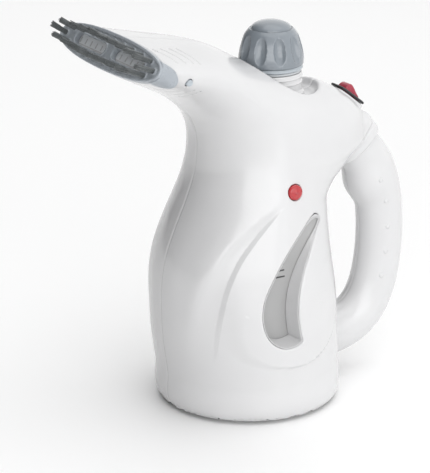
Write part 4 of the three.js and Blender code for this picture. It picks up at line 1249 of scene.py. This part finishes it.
# The surround's rings: half sizes, corner radius and height.
SURROUND = [
    (10.3, 7.3, 1.6, -0.3), (10.6, 7.6, 1.9, 0.1), (10.6, 7.6, 1.9, 0.6), (10.2, 7.2, 1.6, 1.1),
    (9.6, 6.6, 1.3, 1.3), (8.3, 5.5, 1.0, 1.3), (7.9, 5.1, 0.9, 1.0), (7.8, 5.0, 0.9, 0.7),
    (7.8, 5.0, 0.9, -0.3),
]
ROCKER = [(-7, -1), (-6.2, 4.2), (-4.4, 5.9), (-2.2, 5.7), (2.4, 3.6), (6.5, 1.6), (6.9, -1.4), (6.2, -5),
          (0, -6.4), (-6.2, -5.6)]
# The rocker's rings: inset, and place across the switch.
ROCKER_RINGS = [(0.8, -4.7), (0.35, -4.5), (0.1, -4.1), (0, -3.6), (0, 3.6), (0.1, 4.1), (0.35, 4.5),
                (0.8, 4.7)]


def make_switch():
    points = []
    for half_x, half_y, corner, z in SURROUND:
        ring = rounded_rectangle(half_x, half_y, corner)
        points += [(x, y, z) for x, y in ring]
    make("switch_surround", from_switch(points), loft_faces(len(SURROUND), len(ring), closed=True),
         "black_plastic", replaces=["switch_bezel"], sharp=40)
    side = spline(ROCKER, 6, closed=True)[:-1][::-1]
    points = inset_rings(side, ROCKER_RINGS, 1)
    faces = flipped(loft_faces(len(ROCKER_RINGS), len(side)))
    make("rocker_button", from_switch(points), faces, "red_plastic", "rocker", ["switch_rocker"], sharp=50)


for hand, side in HANDS:
    make_shell(hand, side)
for hand, side in HANDS:
    make_window(hand, side)
make_neck()
make_cap()
make_spring()
make_round_trim()
make_screws()
make_bristle_head()
make_tufts()
make_switch()

slots = {part["node"]: part["material_slot"] for part in frame["record"]["subparts"]}
for node_name, node in frame["nodes"].items():
    node.data.materials.clear()
    node.data.materials.append(FINISHES[slots[node_name]])
# the steam plate takes a pale non-metal grey instead of its slot's finish: partly its own colour, partly
# painted light against the shade it lies in
frame["nodes"]["steam_plate"].data.materials[0] = FINISHES["plate_grey_painted_light"]


# ---------------- floor and light
FLOOR_HALF, FLOOR_CELLS = 6.0, 24


def make_floor():
    steps = np.linspace(-FLOOR_HALF, FLOOR_HALF, FLOOR_CELLS + 1)
    points = [(x, y, 0) for x in steps for y in steps]
    row = FLOOR_CELLS + 1
    faces = []
    for i in range(FLOOR_CELLS):
        for j in range(FLOOR_CELLS):
            faces.append((i * row + j, (i + 1) * row + j, (i + 1) * row + j + 1, i * row + j + 1))
    mesh = bpy.data.meshes.new("floor")
    mesh.from_pydata(points, [], faces)
    paint = shade("floor_paint", (0.94, 0.94, 0.94), (0.93, 0.93, 0.93), 0.6, 0.05, 2, 300, 0.02)
    mesh.materials.append(paint)
    floor = bpy.data.objects.new("floor", mesh)
    bpy.context.collection.objects.link(floor)


# Name, place, what it is turned to, width, height and power.
SOFTBOXES = [
    ("top", (0.1, -0.2, 2.4), (0, 0, 0), 2.6, 2.6, 15),
    ("fill", (-1.0, -2.5, 0.8), (0, 0, 0.12), 3.2, 1.5, 29),
    ("strip", (0.38, -1.35, 0.3), (0, 0, 0.15), 0.5, 0.8, 1.0),
]
DIM_WAY = (-0.86, 0.51, 0.0)
DIM_START, DIM_END, DIM_LEVEL = 0.1, 0.72, 0.0
WORLD_LEVEL, SEEN_LEVEL = 1.1, 0.97


def make_softbox(name, place, target, width, height, power):
    data = bpy.data.lights.new(name, "AREA")
    data.shape = "RECTANGLE"
    data.size, data.size_y = width, height
    data.energy = power
    light = bpy.data.objects.new(name, data)
    light.location = place
    light.rotation_mode = "QUATERNION"
    light.rotation_quaternion = (Vector(target) - Vector(place)).to_track_quat("-Z", "Y")
    bpy.context.collection.objects.link(light)


def make_world():
    """A white studio with a dark card on one side, which lights the steamer but isn't seen itself."""
    world = bpy.data.worlds.new("studio")
    bpy.context.scene.world = world
    world.use_nodes = True
    nodes, link = world.node_tree.nodes, world.node_tree.links.new
    to_card = nodes.new("ShaderNodeVectorMath")
    to_card.operation = "DOT_PRODUCT"
    to_card.inputs[1].default_value = DIM_WAY
    link(nodes.new("ShaderNodeTexCoord").outputs["Generated"], to_card.inputs[0])
    level = nodes.new("ShaderNodeMapRange")
    level.interpolation_type = "SMOOTHSTEP"
    set_inputs(level, {
        "From Min": DIM_START,
        "From Max": DIM_END,
        "To Min": WORLD_LEVEL,
        "To Max": DIM_LEVEL,
    })
    link(to_card.outputs["Value"], level.inputs["Value"])
    seen = nodes.new("ShaderNodeMix")
    set_inputs(seen, {"B": SEEN_LEVEL})
    link(nodes.new("ShaderNodeLightPath").outputs["Is Camera Ray"], seen.inputs["Factor"])
    link(level.outputs["Result"], seen.inputs["A"])
    background = nodes["Background"]
    set_inputs(background, {"Color": (1, 1, 1, 1)})
    link(seen.outputs["Result"], background.inputs["Strength"])


make_floor()
for box in SOFTBOXES:
    make_softbox(*box)
make_world()
bpy.context.scene.view_settings.view_transform = "Standard"
